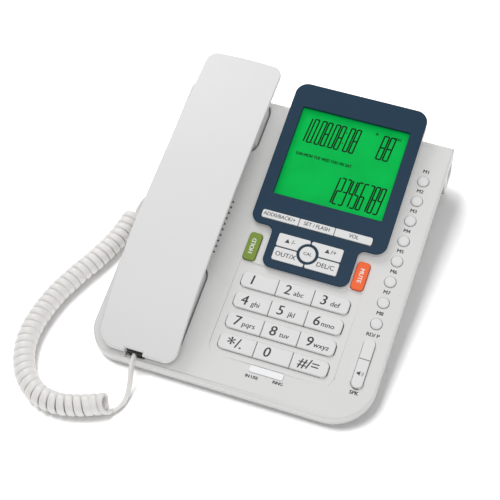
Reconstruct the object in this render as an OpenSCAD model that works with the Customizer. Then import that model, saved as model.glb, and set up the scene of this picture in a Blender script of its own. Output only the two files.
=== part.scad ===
/* [Case] */
// Width of the case
case_w = 177; // [174:1:190]
// Length of the sloping face, from the line that it is measured from to its back edge
face_l = 201; // [200:1:215]
// How far the case's front edge stands back from the line that the face is measured from
front_in = 2.8; // [0:0.1:4]
// Slope of the face, in degrees
tilt = 10; // [8:0.5:12]
// Height of that line above the table
front_h = 10; // [10:0.5:14]
// Corner radius of the face at the front left
left_r = 19; // [12:1:24]
// Corner radius of the face at the front right
right_r = 26; // [14:1:26]
// Corner radius of the face at the back
back_r = 4; // [3:0.5:8]
// Wall of the case's two halves
wall = 2.2; // [1.8:0.1:2.4]
// Depth of the upper half's rim round the face
rim = 4.4; // [4:0.2:5]
// Groove between the two halves
parting = 0.4; // [0.3:0.1:0.6]
// Depth of the lower half's rim
tray_rim = 2; // [1.6:0.1:2.2]
// How far the lower half's walls stand in under the rim
undercut = 5; // [4.5:0.1:5.3]
// Radius that rolls the face over at the back
roll_r = 8; // [5:0.5:10]
// Length of the skirt that hangs down at the back
skirt_l = 21; // [16:1:24]
// Height of the back skirt
skirt_h = 28; // [22:1:30]
// Length of the hand slot in each side of the skirt
side_slot_l = 9; // [6:0.5:10]
// Height of that slot
side_slot_h = 11; // [6:0.5:12]
// Height of the rubber feet below the case
foot_h = 2; // [1.6:0.2:3]
// Radius of the rubber feet
foot_r = 5.5; // [4:0.5:6]
// Depth of the seat that each foot is glued into
foot_seat = 0.8; // [0.5:0.1:1]

/* [Handset] */
// Width of the handset
hand_w = 52.9; // [50:0.5:55]
// Length of the handset
hand_l = 210.5; // [200:0.5:212]
// Case that shows on the left of the handset
hand_margin = 6.05; // [4:0.05:7]
// Distance from the face's front edge to the handset's front end
hand_start = 5.4; // [5:0.1:6]
// Height of the handset's back above the face, at the grip
hand_top = 20; // [19:0.5:24]
// Height of the handset's back above the face at the mouth end
mouth_top = 7; // [6.8:0.1:8]
// Length of the bend down to the mouth end
mouth_bend = 78; // [70:1:90]
// Drop of the handset's back at the ear end
ear_drop = 6.5; // [3:0.1:7]
// Length of the gentle bend down to the ear end
ear_bend = 110; // [90:1:120]
// Depth of the handset's outer shell
cover_t = 2.4; // [2.2:0.1:3.6]
// How far the inner shell's rim stands in under the outer shell's edge
hand_step = 1.6; // [0.4:0.1:2]
// Depth of the rim's underside below the handset's back
rim_t = 6; // [5.6:0.1:6.4]
// Height of the rim above the face at the mouth end
rim_lift = 0.8; // [0.6:0.1:1]
// Height of the grip's upper edges above the face
flange_h = 14; // [13:0.5:14.5]
// Height of the grip's underside above the face
grip_h = 9; // [8:0.5:10]
// Width of the grip's underside
grip_w = 38; // [32:1:42]
// Corner radius at the handset's mouth end, on the case's outer side
hand_left_r = 11; // [8:0.5:16]
// How much the handset's outer side draws in toward its mouth end
mouth_in = 2.2; // [0:0.1:3]
// Corner radius at the handset's mouth end, on the keys' side
hand_right_r = 8; // [6:0.5:10]
// Corner radius at the handset's ear end
hand_back_r = 8.5; // [5:0.5:10]
// Radius of the bulge at the ear end
end_arc = 240; // [180:10:300]
// How much each side of the handset tapers in toward the ear end
hand_taper = 1; // [0.2:0.1:2]
// Wall of the handset
hand_wall = 1.8; // [1.4:0.1:2]
// Width of the ear and mouth cups
cup_w = 45; // [40:0.5:45.5]
// How far the cups stand to the right of the handset's middle
cup_shift = 1; // [0:0.25:1.25]
// Corner radius of the cups
cup_r = 8; // [5:0.5:10]
// Start of the mouth cup up the face
mouth_s = 14.5; // [14:0.5:18]
// Length of the mouth cup
mouth_l = 59.5; // [50:0.5:60]
// Depth of the mouth cup below the face
mouth_depth = 4; // [3:0.2:4.4]
// Start of the ear cup up the face
ear_s = 157; // [150:0.5:158]
// Length of the ear cup
ear_l = 37.8; // [34:0.2:38]
// Depth of the ear cup below the face
ear_depth = 7; // [5:0.5:8]
// Gap round each cup in its well
well_gap = 1; // [0.8:0.1:1.2]
// Radius of the receiver
receiver_r = 15.5; // [12:0.5:16]
// Thickness of the receiver's rim
receiver_t = 5; // [4:0.5:6]
// Height that the handset can be lifted
lift = 80; // [40:5:120]

/* [Number keys] */
// Distance from the case's right edge to the middle of the keypad
pad_margin = 65.3; // [62:0.1:66]
// Width of one key with its gap
key_w = 23; // [21:0.5:23.5]
// Length of a key up the face
key_l = 10.2; // [9:0.1:10.6]
// Distance between two rows
row_pitch = 14; // [13:0.1:14.2]
// Front edge of the lowest row
row_s = 26.2; // [26:0.1:28]
// Radius at the ends of a row
row_r = 3.2; // [2:0.1:4]
// Height of the keys above the face
key_rise = 1.6; // [1.2:0.1:2.4]
// Travel of every key
key_travel = 1; // [0.6:0.1:1]
// Clearance of a key in its hole
key_fit = 0.3; // [0.2:0.05:0.4]
// Thickness of the lip that holds a key in
key_lip = 0.9; // [0.7:0.1:0.9]
// Depth of the shallow recess round the number keys
pad_recess = 0.8; // [0.4:0.1:1]

/* [Function keys] */
// Distance from the case's right edge to the middle of the memory keys
mem_margin = 12.3; // [12:0.1:14]
// Diameter of a memory key
mem_d = 7; // [6:0.1:7.4]
// Distance between two memory keys
mem_pitch = 14.3; // [13:0.1:14.4]
// Place of the lowest memory key up the face
mem_s = 68.2; // [68:0.1:70]
// Front end of the long key pair
pill_s = 25.8; // [25:0.1:27]
// Length of the speaker key
speaker_l = 18.4; // [16:0.1:19]
// Length of the redial key
redial_l = 13.6; // [12:0.1:14]
// Width of the hold and mute keys
side_key_w = 8; // [6:0.1:8.4]
// Length of the hold and mute keys
side_key_l = 19; // [16:0.1:20]
// Distance of the hold and mute keys from the middle of the keypad
side_key_x = 34.8; // [34.6:0.1:35.5]
// Place of the hold and mute keys' middle up the face
side_key_s = 95; // [94.5:0.1:96]
// Length of the light bar under the keypad
light_w = 21; // [18:0.1:28]
// Width of the light bar
light_l = 4.2; // [3:0.1:4.4]
// Place of the light bar's middle up the face
light_s = 19.3; // [19:0.1:19.6]

/* [Display] */
// Distance from the case's right edge to the middle of the display head
head_margin = 63.5; // [63.2:0.1:64.5]
// Front edge of the display head up the face
neck_s = 84; // [83.5:0.1:84.5]
// Width of the head's neck
neck_w = 55.6; // [54:0.1:56.4]
// Length of the head
head_l = 126.4; // [122:0.2:130]
// Width of the head
head_w = 87; // [84:0.5:88]
// Length of the neck
shoulder = 26; // [25:0.1:27]
// Height of the head's front edge above the face
head_front = 2.5; // [2.5:0.1:4]
// Slope of the head against the face, in degrees
head_rise = 4.3; // [3.5:0.1:6]
// Thickness of the bezel
bezel_t = 1.6; // [1.4:0.1:1.8]
// Width of the display's window
window_w = 70.4; // [64:0.2:70.6]
// Length of the display's window
window_l = 62; // [50:0.5:62.5]
// Place of the window's lower edge up the head
window_s = 48; // [47.5:0.1:49]
// Depth of the window below the bezel
window_depth = 3; // [2:0.1:3]
// Width of each key of the three-key bar with its gap
bar_key_w = 23; // [20:0.5:23]
// Length of the keys of the bar
bar_key_l = 5.2; // [4.6:0.1:5.6]
// Extra length of the bar's two end keys
bar_end = 1.3; // [0:0.1:1.5]
// Place of the bar's lower edge up the head
bar_s = 30.4; // [30:0.1:31]
// Width of a direction key
nav_key_w = 20.4; // [18:0.1:20.8]
// Length of a direction key
nav_key_l = 8.5; // [8:0.1:8.7]
// Place of the direction keys' middle up the head
nav_s = 14.3; // [14:0.1:14.6]
// Radius of the round centre key
centre_key_r = 5; // [4:0.1:5.2]
// Ring of bezel between the round key and the direction keys
centre_ring = 1.8; // [1.4:0.1:2.2]

/* [Loudspeaker] */
// Diameter of one hole of the loudspeaker's grille
grille_d = 1.7; // [1:0.1:2]
// Distance between the holes
grille_pitch = 4; // [3:0.1:4.2]
// Holes in one column
grille_rows = 10; // [6:1:10]
// Columns of holes
grille_columns = 5; // [2:1:5]
// Radius of the loudspeaker
speaker_r = 20; // [16:1:20]

/* [Sockets and battery] */
// Width of the cord sockets' opening
cord_socket_w = 7.9; // [7.8:0.05:8]
// Height of the cord sockets' opening
cord_socket_h = 6.9; // [6.8:0.05:7]
// Width of the line socket's opening
line_socket_w = 9.9; // [9.8:0.05:10]
// Height of the line socket's opening
line_socket_h = 6.9; // [6.8:0.05:7]
// Depth of the sockets' openings
socket_depth = 12; // [11:0.5:13]
// Wall round the sockets' openings
socket_wall = 1.2; // [1:0.1:1.4]
// Clearance of a plug in its socket
plug_fit = 0.15; // [0.1:0.05:0.2]
// Length of a plug outside its socket
plug_out = 0.8; // [0.6:0.1:3]
// Diameter of a battery cell
cell_d = 10.5; // [10.3:0.1:10.6]
// Length of a battery cell
cell_l = 44.5; // [44:0.1:44.8]
// Number of battery cells
cells = 3; // [2:1:3]
// Width of the battery door
door_w = 36; // [36:0.5:37]
// How far the battery door slides out
door_travel = 20; // [10:1:30]

/* [Cord] */
// Outside diameter of the curly cord
coil_d = 13.8; // [12:0.1:14]
// Width of the flat cable
cable_w = 4.9; // [4:0.1:5]
// Thickness of the flat cable
cable_t = 2.4; // [2:0.1:2.6]

/* [Hidden] */
$fn = 64;

// small clearance between seated pieces of one body
seat = 0.1;
// overshoot of a cut past the face that it opens
cut = 1;
// height above everything
tall = 90;

// the case in plan: the origin lies at the middle of the whole phone
front_y = -107;
case_front = front_y + front_in;
case_d = face_l * cos(tilt);
back_y = front_y + case_d;
half_w = case_w / 2;
skirt_lean = 5;
side_slot_in = 8;
side_slot_up = 6;
skirt_z = front_h + case_d * tan(tilt) - skirt_h;
tub_back = back_y - wall - 0.8;
tub_top = rim + parting;
floor_z = foot_h + wall;

// columns of the face
hand_x = hand_margin + hand_w / 2 - half_w;
cup_x = hand_x + cup_shift;
pad_x = half_w - pad_margin;
head_x = half_w - head_margin;
mem_x = half_w - mem_margin;
mouth_drop = hand_top - mouth_top;
mouth_arc = (mouth_bend * mouth_bend + mouth_drop * mouth_drop) / (2 * mouth_drop);
ear_arc = (ear_bend * ear_bend + ear_drop * ear_drop) / (2 * ear_drop);
shell_gap = 0.2;

// levels under the face
lip_top = wall + key_fit;
lip_bottom = lip_top + key_lip;
mat_top = lip_bottom + key_travel + 0.25;
mat_t = 1.1;
board_top = mat_top + mat_t + 0.05;
board_t = 1.6;
liner = 1.8;
well_floor = 0.3;

// levels under the bezel
nav_lip_top = bezel_t + key_fit;
nav_lip_bottom = nav_lip_top + key_lip;
nav_mat_top = nav_lip_bottom + key_travel + 0.2;
nav_cavity = nav_mat_top + mat_t + 0.3;
nav_room = nav_key_w + 1.8;
bar_half = 1.5 * bar_key_w + bar_end;
bar_r = 1.4;
bezel_lip = 0.6;
lens_t = 1;
lcd_t = 3.8;
lcd_w = window_w + 6;
lcd_l = window_l + 7;
lcd_cavity = window_depth + 2 * seat + lens_t + lcd_t + 0.2;
tray_inset = 3.5;
tray_drop = board_top - 1.2;

screw_r = 1.5;
boss_r = 3.2;
boss_meet = 0.5;
screw_gap = 0.5;
screw_back = face_l - 15;
foot_side = 22.5;
foot_back = back_y - 14;
foot_places = [
    [foot_side - half_w, case_front + 13.5], [half_w - foot_side - 7, case_front + 18],
    [foot_side - 8 - half_w, foot_back], [half_w - foot_side, foot_back]
];

// sockets
cord_socket_y = 16.5;
cord_socket_z = 12;
line_socket_x = half_w - 48.5;
line_socket_z = 10;
hand_socket_h = 1.6;
hand_socket_in = 1.6;
socket_bottom = hand_socket_h - cord_socket_h / 2 - socket_wall;
recess_floor = 1.25;
socket_room = 1;

// battery compartment
cell_pitch = cell_d + 2;
box_x = 42.5 - half_w;
box_l = cell_l + 2.6;
box_wall = 1.6;
door_t = wall - 0.3;
door_tongue = 1.5;
box_half = door_w / 2 + door_tongue + 0.3;
box_top = foot_h + door_t + 0.3 + cell_d + 0.5;
box_back = tub_back - wall;
contact_t = 0.5;

// screws, by their places across and up the face
screw_places = [
    [cup_x + cup_w / 2 + well_gap + liner + boss_r + screw_gap, front_in + 11],
    [half_w - right_r + 5.5, front_in + right_r / 2],
    [18.5 - half_w, face_l / 2 + 11.5],
    [box_x + box_half + box_wall + boss_r + screw_gap, screw_back],
    [half_w - undercut - wall - boss_r - 2 * screw_gap, screw_back]
];

// loudspeaker under its grille
grille_s = 85;
grille_in = 4.3;
grille_x = hand_x + hand_w / 2 - grille_in;
speaker_x = grille_x - (grille_columns - 1) / 2 * grille_pitch;
speaker_s = grille_s + (grille_rows - 1) / 2 * grille_pitch;
speaker_rim = 4;
speaker_cone = 5;
speaker_magnet = 4;

// board under the keys
board_x = speaker_x + speaker_r + 4.5;
board_s = row_s - 3.2;
board_end = mem_s + 7 * mem_pitch + mem_d / 2 + 4.2;
post_r = 1.8;
post_x = mem_x - 8.6;
post_places = [board_s + 37, board_end - 46];

// cord: places of the coil's middle line and of the two flat leads
coil_z = coil_d / 2 + 0.05;
coil_route = [
    [-61, -134], [-74, -140], [-88, -143.5], [-101, -142], [-112, -135],
    [-120, -124], [-124.5, -110], [-125, -95], [-121.5, -75], [-115, -57],
    [-107, -39], [-101, -21], [-98, -3]
];
handset_lead_route = [
    [-56, -101.19, 12.65], [-56, -103.31, 12.28], [-55.5, -107.8, 11.3], [-54.5, -111.7, 9.6],
    [-53.6, -115.8, 7], [-53, -119.9, 4.5], [-52.8, -123.9, 2.7], [-53.2, -127.7, 1.75],
    [-54.4, -131.1, 1.4], [-56.2, -133.7, 1.35], [-58.4, -135.4, 1.5], [-60.5, -136.3, 1.7]
];
base_lead_route = [
    [-84.32, 16.5, 12], [-87.5, 16.5, 12], [-91, 15.7, 10.8], [-94.6, 13.5, 8.2], [-97.2, 10.1, 5.4],
    [-98.4, 5.5, 3], [-98.4, 1.1, 1.8], [-98.1, -3.2, 1.45]
];

// height of the face at y
function face_z(y) = front_h + (y - front_y) * tan(tilt);

// middle of the roll at the back, as y and z
function roll_middle() = [back_y - roll_r, face_z(back_y - roll_r) - roll_r / cos(tilt)];

// places children on the sloping face: x across, s up the slope from its front edge, h out of it
module on_face(x = 0, s = 0, h = 0)
    translate([0, front_y, front_h])
        rotate([tilt, 0, 0])
            translate([x, s, h]) children();

// places children on the display head: u up its slope from the neck's edge, h out of the bezel
module on_head(x = 0, u = 0, h = 0)
    on_face(head_x, neck_s, head_front)
        rotate([head_rise, 0, 0])
            translate([x, u, h]) children();

// places children on the display head over the middle of the keypad
module on_nav(x = 0, u = 0, h = 0)
    on_head(x + pad_x - head_x, u, h) children();

// extrudes an outline of y and z across the phone
module across(x, width)
    translate([x, 0, 0])
        rotate([90, 0, 90])
            linear_extrude(width) children();

// rectangle with a radius for each corner: front left, front right, back right, back left
module plate(size, r) {
    w = size[0];
    l = size[1];
    polygon(concat(
        r[0] > 0 ? [[0, r[0]], [r[0], 0]] : [[0, 0]],
        r[1] > 0 ? [[w - r[1], 0], [w, r[1]]] : [[w, 0]],
        r[2] > 0 ? [[w, l - r[2]], [w - r[2], l]] : [[w, l]],
        r[3] > 0 ? [[r[3], l], [0, l - r[3]]] : [[0, l]]
    ));
    middles = [[r[0], r[0]], [w - r[1], r[1]], [w - r[2], l - r[2]], [r[3], l - r[3]]];
    for (k = [0 : 3])
        if (r[k] > 0)
            translate(middles[k]) circle(r[k]);
}

// plate with one radius, centred on the origin
module slab(w, l, r)
    translate([-w / 2, -l / 2]) plate([w, l], [r, r, r, r]);

// outline of the case, inset by a margin and by another at the back
module case_plan(inset, back) {
    end_r = max(back_r - inset, 1);
    translate([inset - half_w, case_front + inset])
        plate([case_w - 2 * inset, back - case_front - inset], [left_r - inset, right_r - inset, end_r, end_r]);
}

// side view of the upper half: under the face, round the roll and down the skirt
module upper_profile() {
    c = roll_middle();
    lean_y = back_y - skirt_l - skirt_lean;
    polygon([
        [front_y, front_h - rim],
        [front_y, front_h],
        c + roll_r * [-sin(tilt), cos(tilt)],
        c,
        [back_y, c[1]],
        [back_y, skirt_z],
        [back_y - skirt_l, skirt_z],
        [lean_y, face_z(lean_y) - rim]
    ]);
    translate(c) circle(roll_r);
}

// side view of the hollow inside the upper half
module hollow_profile() {
    c = roll_middle();
    r = roll_r - wall;
    polygon([
        [front_y - cut, -cut],
        [front_y - cut, face_z(front_y - cut) - wall / cos(tilt)],
        c + r * [-sin(tilt), cos(tilt)],
        c,
        [back_y - wall, c[1]],
        [back_y - wall, -cut]
    ]);
    translate(c) circle(r);
}

// the ear and mouth wells' outlines on the face, grown by a margin
module well_outlines(grow)
    for (cup = [[mouth_s, mouth_l], [ear_s, ear_l]])
        translate([cup_x - cup_w / 2 - grow, cup[0] - grow])
            plate([cup_w + 2 * grow, cup[1] + 2 * grow], [1, 1, 1, 1] * (cup_r + grow));

module well(s, l, grow, top, depth)
    on_face(cup_x - cup_w / 2 - grow, s - grow, -depth)
        linear_extrude(top + depth)
            plate([cup_w + 2 * grow, l + 2 * grow], [1, 1, 1, 1] * (cup_r + grow));

// outline of a number key: 0, 1 and 2 are the left, middle and right of a row
module key_plan(column, grow) {
    left = column == 0 ? row_r : 0;
    right = column == 2 ? row_r : 0;
    gap = 0.2 - grow;
    translate([-key_w / 2 + gap, -grow])
        plate([key_w - 2 * gap, key_l + 2 * grow], [left, right, right, left]);
}

// outline of a whole row of keys
module row_plan(grow)
    translate([-1.5 * key_w - grow, -grow])
        plate([3 * key_w + 2 * grow, key_l + 2 * grow], [1, 1, 1, 1] * (row_r + grow));

// outline of the long key pair, from its front end
module pill_plan(start, end, grow)
    intersection() {
        union() {
            translate([0, mem_d / 2]) circle(mem_d / 2 + grow);
            translate([-mem_d / 2 - grow, mem_d / 2])
                square([mem_d + 2 * grow, speaker_l + redial_l - mem_d]);
            translate([0, speaker_l + redial_l - mem_d / 2]) circle(mem_d / 2 + grow);
        }
        translate([-mem_d, start]) square([2 * mem_d, end - start]);
    }

// outline of the display head: neck, head and the fillets between them
module head_plan(inset, start, end) {
    fillet = 4;
    translate([inset - neck_w / 2, start])
        plate([neck_w - 2 * inset, shoulder + 12 - start], [1, 1, 0, 0] * (6 - inset / 2));
    translate([inset - head_w / 2, shoulder + inset])
        plate([head_w - 2 * inset, end - shoulder - inset], [7, 7, 8, 8] - [1, 1, 1, 1] * inset / 2);
    for (side = [-1, 1])
        scale([side, 1])
            translate([neck_w / 2 - inset, shoulder + inset - fillet])
                difference() {
                    translate([-cut, 0]) square([fillet + cut, fillet + cut]);
                    translate([fillet, 0]) circle(fillet);
                }
}

// outline of a direction key, left or right of the round key and above or below it
module nav_plan(side, level, grow)
    difference() {
        translate([side * (nav_key_w / 2 + 0.4), level * (nav_key_l / 2 + 0.4)])
            slab(nav_key_w + 2 * grow, nav_key_l + 2 * grow, 1.2 + grow);
        circle(centre_key_r + centre_ring - grow);
    }

// screw post that hangs from the face
module upper_boss(place) {
    top = place[1] * sin(tilt) + front_h - wall;
    y = front_y + place[1] * cos(tilt);
    translate([place[0], y, foot_h + boss_height(place)])
        cylinder(r = boss_r, h = top - foot_h - boss_height(place));
}

// height of the lower half's screw boss above the case's underside
function boss_height(place) =
    let (room = front_h + place[1] * sin(tilt) - wall - floor_z) wall + max(1, room - 8);

// flat ring of points round a tube's middle line
function ring(p, side, up, a, b, n) =
    [for (k = [0 : n - 1]) p + a * cos(360 * k / n) * side + b * sin(360 * k / n) * up];

function unit(v) = v / norm(v);

// direction of a route at point k
function heading(route, k) =
    let (last = len(route) - 1) unit(route[min(k + 1, last)] - route[max(k - 1, 0)]);

// tube of oval section along a route, its wide side square to the direction given
module tube(route, a, b, across_dir, n) {
    count = len(route);
    rings = [for (k = [0 : count - 1])
        let (
            t = heading(route, k),
            up = unit(cross(t, across_dir)),
            side = unit(cross(up, t))
        ) each ring(route[k], side, up, a, b, n)];
    sides = [for (k = [0 : count - 2], j = [0 : n - 1])
        let (i = (j + 1) % n) each [
            [k * n + j, k * n + i, (k + 1) * n + i],
            [k * n + j, (k + 1) * n + i, (k + 1) * n + j]
        ]];
    first = [for (j = [0 : n - 1]) n - 1 - j];
    last = [for (j = [0 : n - 1]) (count - 1) * n + j];
    polyhedron(rings, concat(sides, [first, last]));
}

// socket body open at one end, along +y from its mouth
module socket(w, h)
    difference() {
        translate([-w / 2 - socket_wall, 0, -h / 2 - socket_wall])
            cube([w + 2 * socket_wall, socket_depth + socket_wall, h + 2 * socket_wall]);
        translate([-w / 2, -cut, -h / 2])
            cube([w, socket_depth + cut, h]);
    }

// hole that takes a socket's body, from out in front of its mouth to deep behind it
module socket_hole(w, h, out, deep)
    translate([-w / 2 - socket_wall - seat, -out, -h / 2 - socket_wall - seat])
        cube([w + 2 * (socket_wall + seat), out + deep, h + 2 * (socket_wall + seat)]);

// modular plug that fits the cord sockets, along +y into its socket
module plug() {
    w = cord_socket_w - 2 * plug_fit;
    h = cord_socket_h - 2 * plug_fit;
    difference() {
        translate([-w / 2, -plug_out, -h / 2]) cube([w, plug_out + socket_depth - 0.4, h]);
        for (k = [-1.5 : 1.5])
            translate([k * 1.02 - 0.3, socket_depth - 4, h / 2 - 0.8]) cube([0.6, 5, 2]);
        translate([-w / 2 - cut, -plug_out - cut, h / 2 - 1.4]) cube([w + 2 * cut, cut + plug_out - 0.6, 3]);
    }
}

module at_cord_socket()
    translate([undercut - half_w, cord_socket_y, cord_socket_z])
        rotate([0, 0, -90]) children();

module at_line_socket()
    translate([line_socket_x, tub_back, line_socket_z])
        rotate([0, 0, 180]) children();

module at_hand_socket()
    on_face(hand_x, hand_start + hand_socket_in, hand_socket_h) children();

// recess in the face for the socket under the handset's mouth end
module socket_recess(grow, top, bottom) {
    w = cord_socket_w + 2 * (socket_wall + socket_room + grow);
    start = hand_start + hand_socket_in - plug_out - socket_room - grow;
    on_face(hand_x - w / 2, start, -bottom)
        linear_extrude(top + bottom) plate([w, mouth_s + 1 - start], [1, 1, 0, 0]);
}

module top_case() color("gainsboro")
    difference() {
        union() {
            difference() {
                intersection() {
                    linear_extrude(tall) case_plan(0, back_y);
                    across(-half_w, case_w) upper_profile();
                }
                intersection() {
                    translate([0, 0, -cut]) linear_extrude(tall) case_plan(wall, back_y - wall);
                    across(-half_w, case_w) hollow_profile();
                }
            }
            well(mouth_s, mouth_l, well_gap + liner, -wall / 2, mouth_depth + well_floor + liner);
            well(ear_s, ear_l, well_gap + liner, -wall / 2, ear_depth + well_floor + liner);
            socket_recess(liner, -wall / 2, -socket_bottom + well_floor + recess_floor);
            for (place = screw_places) upper_boss(place);
            for (s = post_places)
                on_face(post_x, s, -board_top + seat) cylinder(r = post_r, h = board_top - wall / 2);
        }
        well(mouth_s, mouth_l, well_gap, cut, mouth_depth + well_floor);
        well(ear_s, ear_l, well_gap, cut, ear_depth + well_floor);
        socket_recess(0, cut, -socket_bottom + well_floor);
        on_face(cup_x, ear_s + 12, -ear_depth - liner - cut)
            linear_extrude(liner + 2 * cut) slab(8 + 2 * key_fit, 5 + 2 * key_fit, 0.8);
        for (place = screw_places)
            translate([place[0], front_y + place[1] * cos(tilt), 0])
                cylinder(r = screw_r + 0.05, h = foot_h + boss_height(place) + 5);
        on_face(pad_x - 1.5 * key_w - 4.6, row_s - 4, -pad_recess)
            linear_extrude(tall) plate([3 * key_w + 9.2, neck_s - row_s + 5], [6, 6, 0, 0]);
        for (row = [0 : 3])
            on_face(pad_x, row_s + row * row_pitch, -wall - cut)
                linear_extrude(tall) row_plan(key_fit);
        for (k = [0 : 7])
            on_face(mem_x, mem_s + k * mem_pitch, -wall - cut) cylinder(r = mem_d / 2 + key_fit, h = tall);
        on_face(mem_x, pill_s, -wall - cut)
            linear_extrude(tall) pill_plan(-mem_d, speaker_l + redial_l + mem_d, key_fit);
        for (side = [-1, 1])
            on_face(pad_x + side * side_key_x, side_key_s, -wall - cut)
                linear_extrude(tall) slab(side_key_w + 2 * key_fit, side_key_l + 2 * key_fit, 2.2 + key_fit);
        on_face(pad_x, light_s, -wall - cut)
            linear_extrude(tall) slab(light_w + 2 * seat, light_l + 2 * seat, 1);
        on_face(head_x, neck_s, -wall - cut)
            linear_extrude(tall) head_plan(tray_inset - 0.2, tray_inset - 0.2, head_l - 18.8);
        for (column = [0 : grille_columns - 1], row = [0 : grille_rows - 1])
            on_face(grille_x - column * grille_pitch, grille_s + row * grille_pitch, -wall - cut)
                cylinder(d = grille_d, h = tall, $fn = 8);
        for (side = [-1, 1])
            scale([side, 1, 1])
                across(half_w - wall - cut, wall + 2 * cut)
                    translate([back_y - side_slot_in - side_slot_l, skirt_z + side_slot_up])
                        plate([side_slot_l, side_slot_h], [1, 1, 1, 4]);
    }

module bottom_case() color("whitesmoke")
    difference() {
        union() {
            difference() {
                union() {
                    intersection() {
                        translate([0, 0, foot_h]) linear_extrude(tall) case_plan(undercut, tub_back);
                        across(-half_w, case_w) lower_profile();
                    }
                    intersection() {
                        linear_extrude(tall) case_plan(0, back_y);
                        across(-half_w, case_w) tray_rim_profile();
                    }
                }
                translate([0, 0, floor_z]) linear_extrude(tall) case_plan(undercut + wall, tub_back - wall);
            }
            for (place = screw_places)
                translate([place[0], front_y + place[1] * cos(tilt), foot_h])
                    cylinder(r = boss_r, h = boss_height(place) - boss_meet);
            translate([box_x - box_half - box_wall, box_back - box_l - box_wall, foot_h])
                cube([2 * (box_half + box_wall), box_l + box_wall + wall / 2, box_top + box_wall - foot_h]);
        }
        translate([box_x - box_half, box_back - box_l, floor_z])
            cube([2 * box_half, box_l, box_top - floor_z]);
        translate([box_x - door_w / 2 - 0.3, box_back - box_l - 0.3, foot_h - cut])
            cube([door_w + 0.6, tall, cut + 1.2]);
        translate([box_x - box_half, box_back - box_l - 0.3, foot_h + 0.9 - 0.1])
            cube([2 * box_half, tall, door_t - 0.9 + 0.1 + 0.3]);
        for (place = screw_places)
            translate([place[0], front_y + place[1] * cos(tilt), 0]) {
                cylinder(r = screw_r + 0.25, h = tall);
                cylinder(r = 3.05, h = foot_h + 0.8);
            }
        for (place = foot_places)
            translate([place[0], place[1], foot_h - cut]) cylinder(r = foot_r + seat, h = foot_seat + cut);
        at_cord_socket() socket_hole(cord_socket_w, cord_socket_h, cut, wall + cut);
        at_line_socket() socket_hole(line_socket_w, line_socket_h, cut, wall + cut);
    }

// side view of the lower half under its seam, cut back where the roll comes down
module lower_profile() {
    c = roll_middle();
    polygon([
        [front_y, foot_h],
        [front_y, front_h - tub_top],
        [back_y - 14, face_z(back_y - 14) - tub_top],
        [tub_back, c[1] - 3],
        [tub_back, foot_h]
    ]);
}

// side view of the lower half's rim, which ends in front of the skirt
module tray_rim_profile() {
    end = back_y - skirt_l - skirt_lean - 1;
    polygon([
        [front_y, front_h - tub_top - tray_rim],
        [front_y, front_h - tub_top],
        [end, face_z(end) - tub_top],
        [end, face_z(end) - tub_top - tray_rim]
    ]);
}

module display_housing() color("white")
    difference() {
        union() {
            intersection() {
                on_head(0, 0, -tall / 2)
                    linear_extrude(tall / 2 - bezel_t - seat)
                        head_plan(bezel_lip, bezel_lip, head_l - bezel_lip);
                on_face(-half_w, 0, seat) cube([case_w, 2 * face_l, tall]);
            }
            on_face(head_x, neck_s, -tray_drop)
                linear_extrude(tray_drop + 1) head_plan(tray_inset, tray_inset, head_l - 19);
        }
        on_nav(0, 0, -nav_cavity)
            linear_extrude(tall) {
                translate([-nav_room, 3.8]) plate([2 * nav_room, bar_s - 3.8], [3, 3, 0, 0]);
                translate([-bar_half - 1.6, bar_s - 2]) square([2 * bar_half + 3.2, bar_key_l + 4]);
            }
        on_head(0, window_s + window_l / 2, -lcd_cavity)
            linear_extrude(tall) slab(lcd_w + 2 * seat, lcd_l + 2 * seat, 1.5);
    }

module display_bezel() color([0.14, 0.24, 0.35])
    difference() {
        union() {
            on_head(0, 0, -bezel_t) linear_extrude(bezel_t) head_plan(0, 0, head_l);
            on_head(0, window_s + window_l / 2, -window_depth)
                linear_extrude(window_depth) slab(window_w + 3, window_l + 3, 2.5);
        }
        on_head(0, window_s + window_l / 2, -tall / 2) linear_extrude(tall) slab(window_w, window_l, 1);
        on_nav(-bar_half - key_fit, bar_s - key_fit, -tall / 2)
            linear_extrude(tall)
                plate([2 * (bar_half + key_fit), bar_key_l + 2 * key_fit], [1, 1, 1, 1] * (bar_r + key_fit));
        for (side = [-1, 1], level = [-1, 1])
            on_nav(0, nav_s, -tall / 2) linear_extrude(tall) nav_plan(side, level, key_fit - 0.1);
        on_nav(0, nav_s, -tall / 2) cylinder(r = centre_key_r + key_fit, h = tall);
    }

module lcd_lens() color([0.6, 0.9, 0.65])
    on_head(0, window_s + window_l / 2, -window_depth - seat - lens_t)
        linear_extrude(lens_t) slab(window_w + 4, window_l + 4, 1.5);

module lcd_module() color([0.1, 0.65, 0.3])
    on_head(0, window_s + window_l / 2, -window_depth - 2 * seat - lens_t - lcd_t)
        linear_extrude(lcd_t) slab(lcd_w, lcd_l, 1.5);

module indicator_lens() color([0.93, 0.94, 0.95]) {
    on_face(pad_x, light_s, -lip_top) linear_extrude(lip_top + 0.5) slab(light_w, light_l, 0.9);
    on_face(pad_x, light_s, -lip_bottom) linear_extrude(key_lip) slab(light_w + 2, light_l + 2, 0.9);
}

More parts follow.
